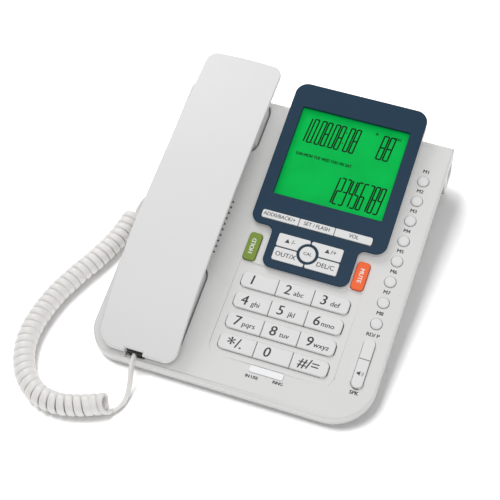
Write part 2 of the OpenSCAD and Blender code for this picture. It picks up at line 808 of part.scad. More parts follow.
module key_mat() color("lightgray") {
    on_face(0, 0, -mat_top - mat_t)
        linear_extrude(mat_t) {
            translate([pad_x - 1.5 * key_w - 1, row_s - 1])
                square([3 * key_w + 2, 3 * row_pitch + key_l + 2]);
            translate([mem_x - 3.4, pill_s]) square([6.8, mem_s + 7 * mem_pitch + 4 - pill_s]);
            for (side = [-1, 1])
                translate([pad_x + side * side_key_x, side_key_s]) slab(side_key_w - 1, side_key_l, 1);
        }
    on_nav(0, 0, -nav_mat_top - mat_t)
        linear_extrude(mat_t) {
            translate([0.4 - nav_room, 4.2]) plate([2 * nav_room - 0.8, bar_s - 4], [2.6, 2.6, 0, 0]);
            translate([-bar_half - 1.2, bar_s - 1])
                plate([2 * bar_half + 2.4, bar_key_l + 2.6], [3, 3, 0, 0]);
        }
}

module main_board() color("seagreen")
    on_face(board_x, board_s, -board_top - board_t)
        linear_extrude(board_t)
            plate([half_w - undercut - wall - 0.6 - board_x, board_end - board_s], [2, 5, 2, 2]);

module hook_plunger() color("ghostwhite") {
    top = ear_depth + well_floor;
    travel = lift * hook_ratio;
    on_face(cup_x, ear_s + 12, -top - liner - travel - 0.4)
        linear_extrude(liner + travel + 0.4) slab(8, 5, 0.6);
    on_face(cup_x, ear_s + 12, -top - liner - travel - 1.6) linear_extrude(1.2) slab(12, 9, 0.6);
}

// rise of the hook plunger for each unit that the handset is lifted
hook_ratio = 0.04;

module loudspeaker() color("dimgray")
    on_face(speaker_x, speaker_s, -wall - 0.3 - speaker_rim) {
        cylinder(r = speaker_r, h = speaker_rim);
        translate([0, 0, -speaker_cone])
            cylinder(r1 = speaker_r / 2, r2 = speaker_r - 1.5, h = speaker_cone);
        translate([0, 0, -speaker_cone - speaker_magnet])
            cylinder(r = speaker_r / 2, h = speaker_magnet);
    }

module line_jack() color("darkslategray")
    at_line_socket() socket(line_socket_w, line_socket_h);

module cord_jack() color("darkslategray")
    at_cord_socket() socket(cord_socket_w, cord_socket_h);

module battery_door() color("whitesmoke")
    difference() {
        union() {
            translate([box_x - door_w / 2, box_back - box_l, foot_h])
                cube([door_w, tub_back - box_back + box_l, 0.9]);
            translate([box_x - door_w / 2 - door_tongue, box_back - box_l, foot_h + 0.9])
                cube([door_w + 2 * door_tongue, tub_back - box_back + box_l, door_t - 0.9]);
        }
        for (k = [0 : 4])
            translate([box_x - door_w / 4, tub_back - 6 - 2.4 * k, foot_h - cut])
                cube([door_w / 2, 1, cut + 0.5]);
    }

module battery_cells() color("goldenrod")
    for (k = [0 : cells - 1])
        translate([box_x + (k - (cells - 1) / 2) * cell_pitch, box_back - box_l + 1.4,
                   foot_h + door_t + 0.3 + cell_d / 2])
            rotate([-90, 0, 0]) {
                cylinder(d = cell_d, h = cell_l - 0.8);
                cylinder(d = 3.8, h = cell_l);
            }

module battery_contacts() color("silver")
    for (end = [0, 1])
        translate([box_x - box_half + 2, end == 0 ? box_back - box_l + 0.3 : box_back - 0.8,
                   foot_h + door_t + 1])
            cube([2 * box_half - 4, 0.5, cell_d - 1.5]);

module rubber_feet() color("darkgray")
    for (place = foot_places)
        translate([place[0], place[1], 0]) {
            cylinder(r = foot_r, h = foot_h + foot_seat - 0.05);
        }

module case_screws() color("silver")
    for (place = screw_places)
        translate([place[0], front_y + place[1] * cos(tilt), foot_h + 0.2]) {
            cylinder(r = screw_r, h = boss_height(place) + 3.5);
            cylinder(r = 2.9, h = 0.55);
        }

// outline of the handset on the face, from its mouth end
module hand_plan(inset) {
    w = hand_w / 2 - inset;
    straight = hand_l / 3;
    lean = atan(hand_taper / (hand_l - straight));
    left = hand_left_r - inset;
    right = hand_right_r - inset;
    r = hand_back_r - inset;
    end = hand_l - inset;
    cx = w - hand_taper + r * tan(lean) - r / cos(lean);
    cy = end - r;
    intersection() {
        union() {
            polygon([
                [mouth_in - w, inset + left], [mouth_in + left - w, inset],
                [w - right, inset], [w, inset + right],
                [w, straight], [cx + r * cos(lean), cy + r * sin(lean)],
                [cx, end], [-cx, end],
                [-cx - r * cos(lean), cy + r * sin(lean)], [-w, straight]
            ]);
            translate([mouth_in + left - w, inset + left]) circle(left);
            translate([w - right, inset + right]) circle(right);
            translate([cx, cy]) circle(r);
            translate([-cx, cy]) circle(r);
        }
        translate([0, hand_l - end_arc]) circle(end_arc - inset, $fn = 256);
    }
}

// side view of the space under the handset's back, lowered by a depth
module back_curve(depth) {
    low = hand_top - depth - tall;
    intersection() {
        union() {
            translate([mouth_bend, hand_top - mouth_arc]) circle(mouth_arc - depth, $fn = 512);
            translate([mouth_bend, low]) square([hand_l, tall]);
        }
        union() {
            translate([-tall, low]) square([tall + hand_l - ear_bend, tall]);
            translate([hand_l - ear_bend, hand_top - ear_arc]) circle(ear_arc - depth, $fn = 1024);
        }
        translate([-tall, -tall / 2]) square([hand_l + 2 * tall, tall]);
    }
}

// gives the handset's side view its width
module hand_side()
    on_face(hand_x, hand_start, 0) across(-hand_w, 2 * hand_w) children();

// rim of the inner shell, which follows the back and stays clear of the face
module hand_rim(inset)
    intersection() {
        on_face(hand_x, hand_start, 0) linear_extrude(tall) hand_plan(hand_step + inset);
        hand_side()
            difference() {
                back_curve(0);
                back_curve(rim_t - inset);
                translate([-tall, -tall]) square([hand_l + 2 * tall, tall + rim_lift + inset]);
            }
    }

// the grip's section, inset by a margin, along the handset
module grip(inset, top)
    on_face(hand_x, hand_start + 3 + inset, 0)
        rotate([-90, 0, 0])
            linear_extrude(hand_l - 8 - 2 * inset)
                polygon([
                    [inset - grip_w / 2, -grip_h - inset],
                    [grip_w / 2 - inset, -grip_h - inset],
                    [hand_w / 2 - 3 - inset, -flange_h - inset],
                    [hand_w / 2 - 3 - inset, -top],
                    [3 + inset - hand_w / 2, -top],
                    [3 + inset - hand_w / 2, -flange_h - inset]
                ]);

module handset_back() color("gainsboro")
    difference() {
        intersection() {
            on_face(hand_x, hand_start, 0) linear_extrude(tall) hand_plan(0);
            hand_side() back_curve(0);
        }
        hand_side() back_curve(cover_t - shell_gap / 2);
        intersection() {
            on_face(hand_x, hand_start, 0) linear_extrude(tall) hand_plan(hand_wall);
            hand_side() back_curve(hand_wall);
        }
        hand_socket_mouth();
        at_hand_socket()
            translate([-cord_socket_w / 2 - socket_wall - 0.6, -4 * cut, 0])
                cube([cord_socket_w + 2 * socket_wall + 1.2, 4 * cut + 0.3, tall / 4]);
    }

// cup of the handset's inner shell, inset by a margin
module cup(s, l, depth, inset, top)
    on_face(cup_x - cup_w / 2 + inset, s + inset, -depth + inset)
        linear_extrude(top + depth - inset)
            plate([cup_w - 2 * inset, l - 2 * inset], [1, 1, 1, 1] * (cup_r - inset));

// opening in the handset's end for the cord's socket
module hand_socket_mouth()
    at_hand_socket()
        socket_hole(cord_socket_w, cord_socket_h, 4 * cut, socket_depth + socket_wall + seat);

module handset_front() color("whitesmoke")
    difference() {
        intersection() {
            union() {
                hand_rim(0);
                grip(0, hand_top);
                cup(mouth_s, mouth_l, mouth_depth, 0, hand_top);
                cup(ear_s, ear_l, ear_depth, 0, hand_top);
            }
            hand_side() back_curve(cover_t + shell_gap / 2);
        }
        hand_rim(hand_wall);
        grip(hand_wall, tall);
        cup(mouth_s, mouth_l, mouth_depth, hand_wall, tall);
        cup(ear_s, ear_l, ear_depth, hand_wall, tall);
        hand_socket_mouth();
        for (k = [0 : 6])
            on_face(cup_x + (k == 0 ? 0 : 7 * cos(60 * k)), ear_s + ear_l / 2 + (k == 0 ? 0 : 7 * sin(60 * k)),
                    -ear_depth - cut)
                cylinder(r = 1.2, h = hand_wall + 2 * cut, $fn = 8);
        for (k = [-1 : 1])
            on_face(cup_x + 3 * k, mouth_s + 22, -mouth_depth - cut)
                cylinder(r = 0.9, h = hand_wall + 2 * cut, $fn = 8);
    }

module receiver() color("dimgray")
    on_face(cup_x, ear_s + ear_l / 2, -ear_depth + hand_wall + 0.2) {
        cylinder(r = receiver_r, h = receiver_t);
        cylinder(r = receiver_r - 6.5, h = receiver_t + 3);
    }

module microphone() color("dimgray")
    on_face(cup_x, mouth_s + 22, -mouth_depth + hand_wall + 0.2) cylinder(r = 4.9, h = 3.4);

module handset_jack() color("darkslategray")
    at_hand_socket() socket(cord_socket_w, cord_socket_h);

// key in the face: a cap over a lip that keeps it in
module number_key(column, row) color("whitesmoke") {
    x = pad_x + (column - 1) * key_w;
    s = row_s + (3 - row) * row_pitch;
    on_face(x, s, -lip_top) linear_extrude(lip_top + key_rise - pad_recess) key_plan(column, 0);
    on_face(x - key_w / 2 + 0.4, s - 1.1, -lip_bottom)
        linear_extrude(key_lip) square([key_w - 0.8, key_l + 2.2]);
}

module memory_key(number) color("whitesmoke")
    on_face(mem_x, mem_s + (8 - number) * mem_pitch, 0) {
        translate([0, 0, -lip_bottom]) cylinder(r = mem_d / 2 + key_fit + 0.5, h = key_lip);
        translate([0, 0, -lip_top]) cylinder(r = mem_d / 2, h = lip_top + key_rise - 1.1);
        translate([0, 0, key_rise - 1.1]) cylinder(r1 = mem_d / 2, r2 = mem_d / 2 - 1.1, h = 0.7);
    }

module long_key(start, end) color("whitesmoke") {
    on_face(mem_x, pill_s, -lip_top) linear_extrude(lip_top + key_rise) pill_plan(start, end, 0);
    on_face(mem_x - mem_d / 2 - 1, pill_s + max(start, 0) + 0.4, -lip_bottom)
        linear_extrude(key_lip) square([mem_d + 2, min(end, speaker_l + redial_l) - max(start, 0) - 0.8]);
}

module side_key(side) {
    on_face(pad_x + side * side_key_x, side_key_s, -lip_top)
        linear_extrude(lip_top + key_rise) slab(side_key_w, side_key_l, 2.2);
    on_face(pad_x + side * side_key_x, side_key_s, -lip_bottom)
        linear_extrude(key_lip) slab(side_key_w + 1.8, side_key_l + 1.8, 2.2);
}

module bar_key(column) color("whitesmoke") {
    left = column == 0 ? bar_end : 0;
    right = column == 2 ? bar_end : 0;
    x = (column - 1.5) * bar_key_w - left;
    w = bar_key_w + left + right;
    ends = [left > 0 ? bar_r : 0, right > 0 ? bar_r : 0];
    on_nav(x + 0.2, bar_s, -nav_lip_top)
        linear_extrude(nav_lip_top + 0.7) plate([w - 0.4, bar_key_l], [ends[0], ends[1], ends[1], ends[0]]);
    on_nav(x + 0.4, bar_s - 1, -nav_lip_bottom)
        linear_extrude(key_lip) square([w - 0.8, bar_key_l + 2]);
}

module nav_key(side, level) color("whitesmoke") {
    on_nav(0, nav_s, -nav_lip_top) linear_extrude(nav_lip_top + 0.7) nav_plan(side, level, 0);
    on_nav(0, nav_s, -nav_lip_bottom) linear_extrude(key_lip) nav_plan(side, level, 0.3);
}

module key_centre() color("whitesmoke")
    on_nav(0, nav_s, -nav_lip_bottom) {
        cylinder(r = centre_key_r + key_fit + 0.5, h = key_lip);
        cylinder(r = centre_key_r, h = nav_lip_bottom + 0.7);
    }

module key_hold() color([0.47, 0.58, 0.2]) side_key(-1);

module key_mute() color([0.95, 0.42, 0.2]) side_key(1);

module cord_coil() color("gainsboro")
    tube([for (p = coil_route) [p[0], p[1], coil_z]], coil_d / 2, coil_d / 2, [0, 0, 1], 12);

module handset_lead() color("gainsboro")
    tube(handset_lead_route, cable_w / 2, cable_t / 2, [1, 0, 0], 8);

module base_lead() color("gainsboro")
    tube(base_lead_route, cable_w / 2, cable_t / 2, [0, 0, 1], 8);

module handset_plug() color([0.85, 0.88, 0.9]) at_hand_socket() plug();

module base_plug() color([0.85, 0.88, 0.9]) at_cord_socket() plug();

top_case();
bottom_case();
display_housing();
display_bezel();
lcd_lens();
lcd_module();
indicator_lens();
key_mat();
main_board();
hook_plunger();
loudspeaker();
line_jack();
cord_jack();
battery_door();
battery_cells();
battery_contacts();
rubber_feet();
case_screws();
handset_back();
handset_front();
receiver();
microphone();
handset_jack();
number_key(0, 0);  // key_1
number_key(1, 0);  // key_2
number_key(2, 0);  // key_3
number_key(0, 1);  // key_4
number_key(1, 1);  // key_5
number_key(2, 1);  // key_6
number_key(0, 2);  // key_7
number_key(1, 2);  // key_8
number_key(2, 2);  // key_9
number_key(0, 3);  // key_star
number_key(1, 3);  // key_0
number_key(2, 3);  // key_hash
bar_key(0);  // key_add
bar_key(1);  // key_set
bar_key(2);  // key_volume
nav_key(-1, 1);  // key_up
nav_key(1, 1);  // key_down
nav_key(-1, -1);  // key_out
nav_key(1, -1);  // key_delete
key_centre();
key_hold();
key_mute();
memory_key(1);  // memory_1
memory_key(2);  // memory_2
memory_key(3);  // memory_3
memory_key(4);  // memory_4
memory_key(5);  // memory_5
memory_key(6);  // memory_6
memory_key(7);  // memory_7
memory_key(8);  // memory_8
long_key(speaker_l + 0.2, speaker_l + redial_l + mem_d);  // key_redial
long_key(-mem_d, speaker_l - 0.2);  // key_speaker
cord_coil();
handset_lead();
base_lead();
handset_plug();
base_plug();
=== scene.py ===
"""Dresses a corded desk telephone: case, display, keys, handset and curly cord."""

import math

import bmesh
import bpy
from bpy.props import FloatProperty, FloatVectorProperty, PointerProperty
from mathutils import Matrix, Vector


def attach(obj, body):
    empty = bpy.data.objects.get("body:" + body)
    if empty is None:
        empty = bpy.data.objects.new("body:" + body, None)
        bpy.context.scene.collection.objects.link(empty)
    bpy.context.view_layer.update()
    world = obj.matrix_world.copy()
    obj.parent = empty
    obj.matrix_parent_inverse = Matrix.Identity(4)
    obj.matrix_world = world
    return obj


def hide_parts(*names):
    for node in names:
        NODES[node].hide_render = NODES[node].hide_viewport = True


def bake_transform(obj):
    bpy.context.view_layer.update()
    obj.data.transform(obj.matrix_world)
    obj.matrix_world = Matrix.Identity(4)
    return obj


bl_info = {
    "name": "Corded Desk Telephone",
    "version": (1, 0, 0),
    "blender": (4, 5, 0),
    "location": "View3D > Sidebar > Telephone",
    "description": "Makes the visible pieces and finishes of a corded desk telephone",
    "category": "Object",
}

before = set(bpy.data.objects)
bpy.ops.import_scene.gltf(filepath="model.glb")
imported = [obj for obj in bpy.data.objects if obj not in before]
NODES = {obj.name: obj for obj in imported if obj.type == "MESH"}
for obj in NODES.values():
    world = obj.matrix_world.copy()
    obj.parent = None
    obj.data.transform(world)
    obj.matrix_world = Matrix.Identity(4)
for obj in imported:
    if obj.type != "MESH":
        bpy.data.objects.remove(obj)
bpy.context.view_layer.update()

MM = 0.001

# the sloping face: its slope, and the line that its places are measured from
TILT = math.radians(10)
FRONT_Y = -0.107
FRONT_Z = 0.010
# the display head on it
RISE = math.radians(4.3)
HEAD_X = 0.025
NECK_S = 0.084
HEAD_H = 0.0025
# middles of the keypad and of the memory keys
PAD_X = 0.0232
MEM_X = 0.0762
# keypad, in millimetres up the face: foot of its first row, row pitch, and middle of a key
ROW_S = 26.2
ROW_PITCH = 14
KEY_MIDDLE = 5.1
# width of a number key, in metres
KEY_W = 0.023
# memory keys, in millimetres up the face: first key, pitch, and middle of a label
MEM_S = 68.2
MEM_PITCH = 14.3
LABEL_MIDDLE = 7.1
# heights, in millimetres: raised keys out of the face, depth of the number keys' recess, and the
# head's keys out of its bezel
KEY_RISE = 1.6
PAD_RECESS = 0.8
NAV_RISE = 0.7
# top of the display module under the bezel, and how far ink lies on what it is printed on
SCREEN_H = -4.2
INK_RISE = 0.03
# thickness of the display's lit bars, and how much shorter than their place they are
BAR_STROKE = 0.95
BAR_GAP = 0.1
# weight of the print: how far its layers stand apart
BOLD = 0.00013
THIN = 0.00005
# face angle, in degrees, from which an edge is rounded, and from which it is shaded sharp
ROUNDED_FROM = 38
SHARP_FROM = 32

# middle lines of the cord, in millimetres
COIL_ROUTE = [
    (-61, -134), (-74, -140), (-88, -143.5), (-101, -142), (-112, -135), (-120, -124),
    (-124.5, -110), (-125, -95), (-121.5, -75), (-115, -57), (-107, -39), (-101, -21), (-98, -3),
]
HANDSET_LEAD = [
    (-56, -101.19, 12.65), (-56, -103.31, 12.28), (-55.5, -107.8, 11.3), (-54.5, -111.7, 9.6),
    (-53.6, -115.8, 7), (-53, -119.9, 4.5), (-52.8, -123.9, 2.7), (-53.2, -127.7, 1.75),
    (-54.4, -131.1, 1.4), (-56.2, -133.7, 1.35),
]
BASE_LEAD = [
    (-84.32, 16.5, 12), (-87.5, 16.5, 12), (-91, 15.7, 10.8), (-94.6, 13.5, 8.2), (-97.2, 10.1, 5.4),
    (-98.4, 5.5, 3), (-98.4, 1.1, 1.8),
]
COIL_Z = 6.95
# steps along a full turn, points round the cable, and how square its two kinds of side are
PER_TURN = 26
CABLE_SIDES = 14
EDGE_POWER = 0.62
FACE_POWER = 0.8
# where the first turn starts, in degrees, and how many turns lean toward the open end
COIL_START = -65
OPEN_TURNS = 2.2
# a lead's step in metres, and the steps in which it turns on edge and joins the coil
LEAD_STEP = 0.0012
TWIST_STEPS = 3
JOIN_STEPS = 9
# width of a lead that lies on edge: square to the way in which its blend runs
ON_EDGE = Vector((-0.13, -0.57, 0.81)).normalized()
# way into the coil at its open end
OPEN_END = Vector((-0.874, 0.057, -0.484))

# lamps: place and size in metres, power in watts
KEY_LAMP = ((-0.75, 0.85, 1.15), 0.7, 8.0)
FILL_LAMP = ((0.3, -0.5, 1.7), 1.8, 15.5)
GROUND_LAMP = ((-0.55, 0.1, 1.42), 0.8, 24.0)
# white of the floor, what the camera sees on top of it, and the world's light and its look
FLOOR_WHITE = 0.9
CAMERA_EXTRA = 0.25
WORLD_LIGHT = 0.4
WORLD_SEEN = 1.0
# camera: place, its right and forward ways, and focal length in millimetres
CAMERA_PLACE = (0.1711, -0.4646, 0.7325)
CAMERA_RIGHT = (0.94108, 0.33678, -0.03076)
CAMERA_FORWARD = (-0.21435, 0.52367, -0.82451)
FOCAL_LENGTH = 99.78

NUMBER_KEYS = ["key_1", "key_2", "key_3", "key_4", "key_5", "key_6", "key_7", "key_8", "key_9",
               "key_star", "key_0", "key_hash"]
BAR_KEYS = ["key_add", "key_set", "key_volume"]
NAV_KEYS = ["key_up", "key_down", "key_out", "key_delete", "key_centre"]
MEMORY_KEYS = ["memory_%d" % k for k in range(1, 9)]
PILL_KEYS = ["key_redial", "key_speaker"]


def face_matrix(x=0.0, s=0.0, h=0.0):
    """Place on the sloping face: x across, s up the slope, h out of it, in metres."""
    base = Matrix.Translation((0, FRONT_Y, FRONT_Z)) @ Matrix.Rotation(TILT, 4, "X")
    return base @ Matrix.Translation((x, s, h))


def head_matrix(x=0.0, u=0.0, h=0.0):
    """Place on the display head: x across the case, u up the head's slope, h out of the bezel."""
    base = face_matrix(HEAD_X, NECK_S, HEAD_H) @ Matrix.Rotation(RISE, 4, "X")
    return base @ Matrix.Translation((x - HEAD_X, u, h))


# ---------------------------------------------------------------- finishes

def new_group(name, inputs, outputs):
    """Empty shader group with its sockets, and its input and output nodes."""
    group = bpy.data.node_groups.new(name, "ShaderNodeTree")
    for socket, kind, default in inputs:
        made = group.interface.new_socket(socket, in_out="INPUT", socket_type=kind)
        made.default_value = default
    for socket, kind in outputs:
        group.interface.new_socket(socket, in_out="OUTPUT", socket_type=kind)
    return group, group.nodes.new("NodeGroupInput"), group.nodes.new("NodeGroupOutput")


def value_node(tree, kind, operation=None, **settings):
    """Node of a kind, with its operation and named input values set."""
    node = tree.nodes.new(kind)
    if operation:
        node.operation = operation
    for key, value in settings.items():
        node.inputs[key.replace("_", " ")].default_value = value
    return node


def moulded_group():
    """Moulded plastic: fine spark-eroded grain, slow tone drift and uneven gloss."""
    if "moulded_surface" in bpy.data.node_groups:
        return bpy.data.node_groups["moulded_surface"]
    group, start, end = new_group(
        "moulded_surface",
        [("Tint", "NodeSocketColor", (0.7, 0.7, 0.7, 1)), ("Drift", "NodeSocketFloat", 0.03),
         ("Grain Size", "NodeSocketFloat", 2200.0), ("Grain Depth", "NodeSocketFloat", 0.00002),
         ("Gloss", "NodeSocketFloat", 0.4), ("Gloss Spread", "NodeSocketFloat", 0.08)],
        [("Color", "NodeSocketColor"), ("Roughness", "NodeSocketFloat"),
         ("Normal", "NodeSocketVector")],
    )
    link = group.links.new
    place = group.nodes.new("ShaderNodeTexCoord")
    drift = value_node(group, "ShaderNodeTexNoise", Scale=22.0, Detail=3.0)
    link(place.outputs["Object"], drift.inputs["Vector"])
    centred = value_node(group, "ShaderNodeMath", "SUBTRACT")
    centred.inputs[1].default_value = 0.5
    link(drift.outputs["Fac"], centred.inputs[0])
    amount = value_node(group, "ShaderNodeMath", "MULTIPLY")
    link(centred.outputs[0], amount.inputs[0])
    link(start.outputs["Drift"], amount.inputs[1])
    gain = value_node(group, "ShaderNodeMath", "ADD")
    gain.inputs[1].default_value = 1.0
    link(amount.outputs[0], gain.inputs[0])
    tint = value_node(group, "ShaderNodeVectorMath", "SCALE")
    link(start.outputs["Tint"], tint.inputs[0])
    link(gain.outputs[0], tint.inputs["Scale"])
    link(tint.outputs[0], end.inputs["Color"])
    smear = value_node(group, "ShaderNodeTexNoise", Scale=140.0, Detail=4.0)
    link(place.outputs["Object"], smear.inputs["Vector"])
    spread = value_node(group, "ShaderNodeMath", "MULTIPLY_ADD")
    link(smear.outputs["Fac"], spread.inputs[0])
    link(start.outputs["Gloss Spread"], spread.inputs[1])
    link(start.outputs["Gloss"], spread.inputs[2])
    link(spread.outputs[0], end.inputs["Roughness"])
    grain = value_node(group, "ShaderNodeTexNoise", Detail=2.0)
    link(place.outputs["Object"], grain.inputs["Vector"])
    link(start.outputs["Grain Size"], grain.inputs["Scale"])
    bump = value_node(group, "ShaderNodeBump", Strength=1.0)
    link(grain.outputs["Fac"], bump.inputs["Height"])
    link(start.outputs["Grain Depth"], bump.inputs["Distance"])
    link(bump.outputs["Normal"], end.inputs["Normal"])
    return group


def plastic(name, colour, gloss=0.38, drift=0.03, grain=2200.0, depth=0.00002, coat=0.0,
            ior=1.46):
    """Moulded plastic material in one colour."""
    if name in bpy.data.materials:
        return bpy.data.materials[name]
    material = bpy.data.materials.new(name)
    material.use_nodes = True
    material.diffuse_color = (*colour, 1)
    tree = material.node_tree
    shader = tree.nodes["Principled BSDF"]
    surface = tree.nodes.new("ShaderNodeGroup")
    surface.node_tree = moulded_group()
    surface.inputs["Tint"].default_value = (*colour, 1)
    surface.inputs["Drift"].default_value = drift
    surface.inputs["Grain Size"].default_value = grain
    surface.inputs["Grain Depth"].default_value = depth
    surface.inputs["Gloss"].default_value = gloss
    shader.inputs["IOR"].default_value = ior
    shader.inputs["Coat Weight"].default_value = coat
    shader.inputs["Coat Roughness"].default_value = 0.15
    tree.links.new(surface.outputs["Color"], shader.inputs["Base Color"])
    tree.links.new(surface.outputs["Roughness"], shader.inputs["Roughness"])
    tree.links.new(surface.outputs["Normal"], shader.inputs["Normal"])
    return material


def metal(name, colour, gloss=0.3):
    """Metal with fine brushed grain."""
    material = plastic(name, colour, gloss=gloss, drift=0.1, grain=4000.0, depth=0.00001)
    material.node_tree.nodes["Principled BSDF"].inputs["Metallic"].default_value = 1.0
    return material


def clear_plastic(name, colour, alpha, gloss=0.08):
    """Thin clear plastic, seen through by its alpha."""
    material = plastic(name, colour, gloss=gloss, drift=0.02, grain=300.0, depth=0.00001)
    shader = material.node_tree.nodes["Principled BSDF"]
    shader.inputs["Alpha"].default_value = alpha
    return material


def screen_with_painted_glow(name, colour, painted_glow):
    """Display film with a painted glow: emission keeps it bright in place of light falling on it,
    under a random mottle of darker green.
    """
    material = bpy.data.materials.new(name)
    material.use_nodes = True
    tree = material.node_tree
    shader = tree.nodes["Principled BSDF"]
    place = tree.nodes.new("ShaderNodeTexCoord")
    mottle = value_node(tree, "ShaderNodeTexNoise", Scale=60.0, Detail=2.0)
    ramp = tree.nodes.new("ShaderNodeValToRGB")
    dim = tuple(c * 0.86 for c in colour)
    ramp.color_ramp.elements[0].position = 0.3
    ramp.color_ramp.elements[0].color = (*dim, 1)
    ramp.color_ramp.elements[1].position = 0.7
    ramp.color_ramp.elements[1].color = (*colour, 1)
    tree.links.new(place.outputs["Object"], mottle.inputs["Vector"])
    tree.links.new(mottle.outputs["Fac"], ramp.inputs["Fac"])
    tree.links.new(ramp.outputs["Color"], shader.inputs["Base Color"])
    tree.links.new(ramp.outputs["Color"], shader.inputs["Emission Color"])
    # painted glow: the film shines by emission in place of light falling on it
    shader.inputs["Emission Strength"].default_value = painted_glow
    shader.inputs["Roughness"].default_value = 0.5
    shader.inputs["IOR"].default_value = 1.15
    return material


def finish(name):
    """The telephone's materials by name, made from the colours in its settings."""
    colours = bpy.context.scene.telephone_colours
    made = bpy.data.materials.get(name)
    if made:
        return made
    if name == "screen":
        # the screen's glow is painted light, given by emission
        return screen_with_painted_glow(name, tuple(colours.screen), 0.42)
    maker, colour, values = {
        "case_white": (plastic, colours.case, dict(gloss=0.36, drift=0.035)),
        "handset_white": (plastic, colours.handset, dict(gloss=0.34, drift=0.03)),
        "key_white": (plastic, colours.keys, dict(gloss=0.3, grain=1500.0, depth=0.00001)),
        "housing_white": (plastic, colours.keys, dict(gloss=0.25)),
        "navy": (plastic, colours.bezel, dict(gloss=0.3, drift=0.1, depth=0.00001, ior=1.33)),
        "olive": (plastic, colours.hold, dict(gloss=0.3, drift=0.06)),
        "orange": (plastic, colours.mute, dict(gloss=0.3, drift=0.05)),
        "screen_ink": (plastic, (0.002, 0.014, 0.005), dict(gloss=0.5, ior=1.2)),
        "screen_window": (clear_plastic, (0.0, 0.03, 0.01), dict(alpha=0.03)),
        "ink": (plastic, colours.ink, dict(gloss=0.4, drift=0.2)),
        "white_ink": (plastic, (0.85, 0.85, 0.83), dict(gloss=0.4, drift=0.08)),
        "cord_white": (plastic, colours.cord, dict(gloss=0.26, drift=0.06, depth=0.00001)),
        "clear_plug": (clear_plastic, (0.75, 0.78, 0.8), dict(alpha=0.55)),
        # black of the sockets, also put on the clear handset plug as painted shade
        "socket_black_and_plug_shade": (plastic, (0.02, 0.02, 0.022), dict(gloss=0.45)),
        "light_lens": (plastic, (0.86, 0.88, 0.9), dict(gloss=0.14, coat=0.4)),
        "rubber": (plastic, (0.2, 0.2, 0.2),
                   dict(gloss=0.7, drift=0.15, grain=900.0, depth=0.00004)),
        "mat_rubber": (plastic, (0.5, 0.5, 0.48), dict(gloss=0.6, drift=0.1)),
        "board_green": (plastic, (0.01, 0.12, 0.05), dict(gloss=0.35, drift=0.5, grain=500.0)),
        "steel": (metal, (0.55, 0.55, 0.57), dict(gloss=0.28)),
        "cell_wrap": (plastic, (0.5, 0.3, 0.05), dict(gloss=0.25, coat=0.5)),
        "cone_black": (plastic, (0.02, 0.02, 0.02), dict(gloss=0.6, drift=0.3)),
    }[name]
    return maker(name, tuple(colour), **values)


# ---------------------------------------------------------------- shape helpers

def add_object(name, mesh, material=None):
    """New object for a mesh at the origin."""
    piece = bpy.data.objects.new(name, mesh)
    bpy.context.scene.collection.objects.link(piece)
    if material:
        mesh.materials.clear()
        mesh.materials.append(material)
    return piece


def mesh_from(name, bm):
    """Mesh from a bmesh, which is freed."""
    mesh = bpy.data.meshes.new(name)
    bm.to_mesh(mesh)
    bm.free()
    return mesh


def clean_copy(node):
    """Bmesh of a solid with its doubles merged and its flat faces joined."""
    bm = bmesh.new()
    bm.from_mesh(NODES[node].data)
    bmesh.ops.remove_doubles(bm, verts=bm.verts, dist=2e-6)
    bmesh.ops.dissolve_limit(bm, angle_limit=math.radians(0.8), verts=bm.verts, edges=bm.edges)
    return bm


def soften(name, node, body, material, passes, slot_name):
    """Replaces a solid by its own shape with rounded edges.

    passes holds (radius, segments, test), where test takes an edge's middle in face coordinates, in
    millimetres, and the heights of its two faces' normals."""
    bm = clean_copy(node)
    to_face = face_matrix().inverted()
    for radius, segments, test in passes:
        bm.normal_update()
        chosen = []
        for edge in bm.edges:
            if len(edge.link_faces) != 2 or not edge.is_convex:
                continue
            if edge.calc_face_angle(0) < math.radians(ROUNDED_FROM):
                continue
            middle = to_face @ ((edge.verts[0].co + edge.verts[1].co) / 2) / MM
            heights = sorted((to_face.to_3x3() @ side.normal).z for side in edge.link_faces)
            if test(middle, heights):
                chosen.append(edge)
        if chosen:
            bmesh.ops.bevel(bm, geom=chosen, offset=radius, offset_type="OFFSET", segments=segments,
                            profile=0.5, affect="EDGES", clamp_overlap=False)
    bmesh.ops.remove_doubles(bm, verts=bm.verts, dist=1e-6)
    mesh = mesh_from(name, bm)
    piece = add_object(name, mesh, material)
    shade(piece)
    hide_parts(node)
    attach(piece, body)


def shade(piece):
    """Smooth shading up to an angle, with flat faces kept flat."""
    mesh = piece.data
    for polygon in mesh.polygons:
        polygon.use_smooth = True
    mesh.set_sharp_from_angle(angle=math.radians(SHARP_FROM))
    weights = piece.modifiers.new("even_normals", "WEIGHTED_NORMAL")
    weights.keep_sharp = True
    weights.weight = 80
    bpy.context.view_layer.update()
    graph = bpy.context.evaluated_depsgraph_get()
    baked = bpy.data.meshes.new_from_object(piece.evaluated_get(graph))
    piece.modifiers.remove(weights)
    piece.data = baked


def paint(node, material):
    """Gives a solid that stays in view its material."""
    mesh = NODES[node].data
    mesh.materials.clear()
    mesh.materials.append(material)


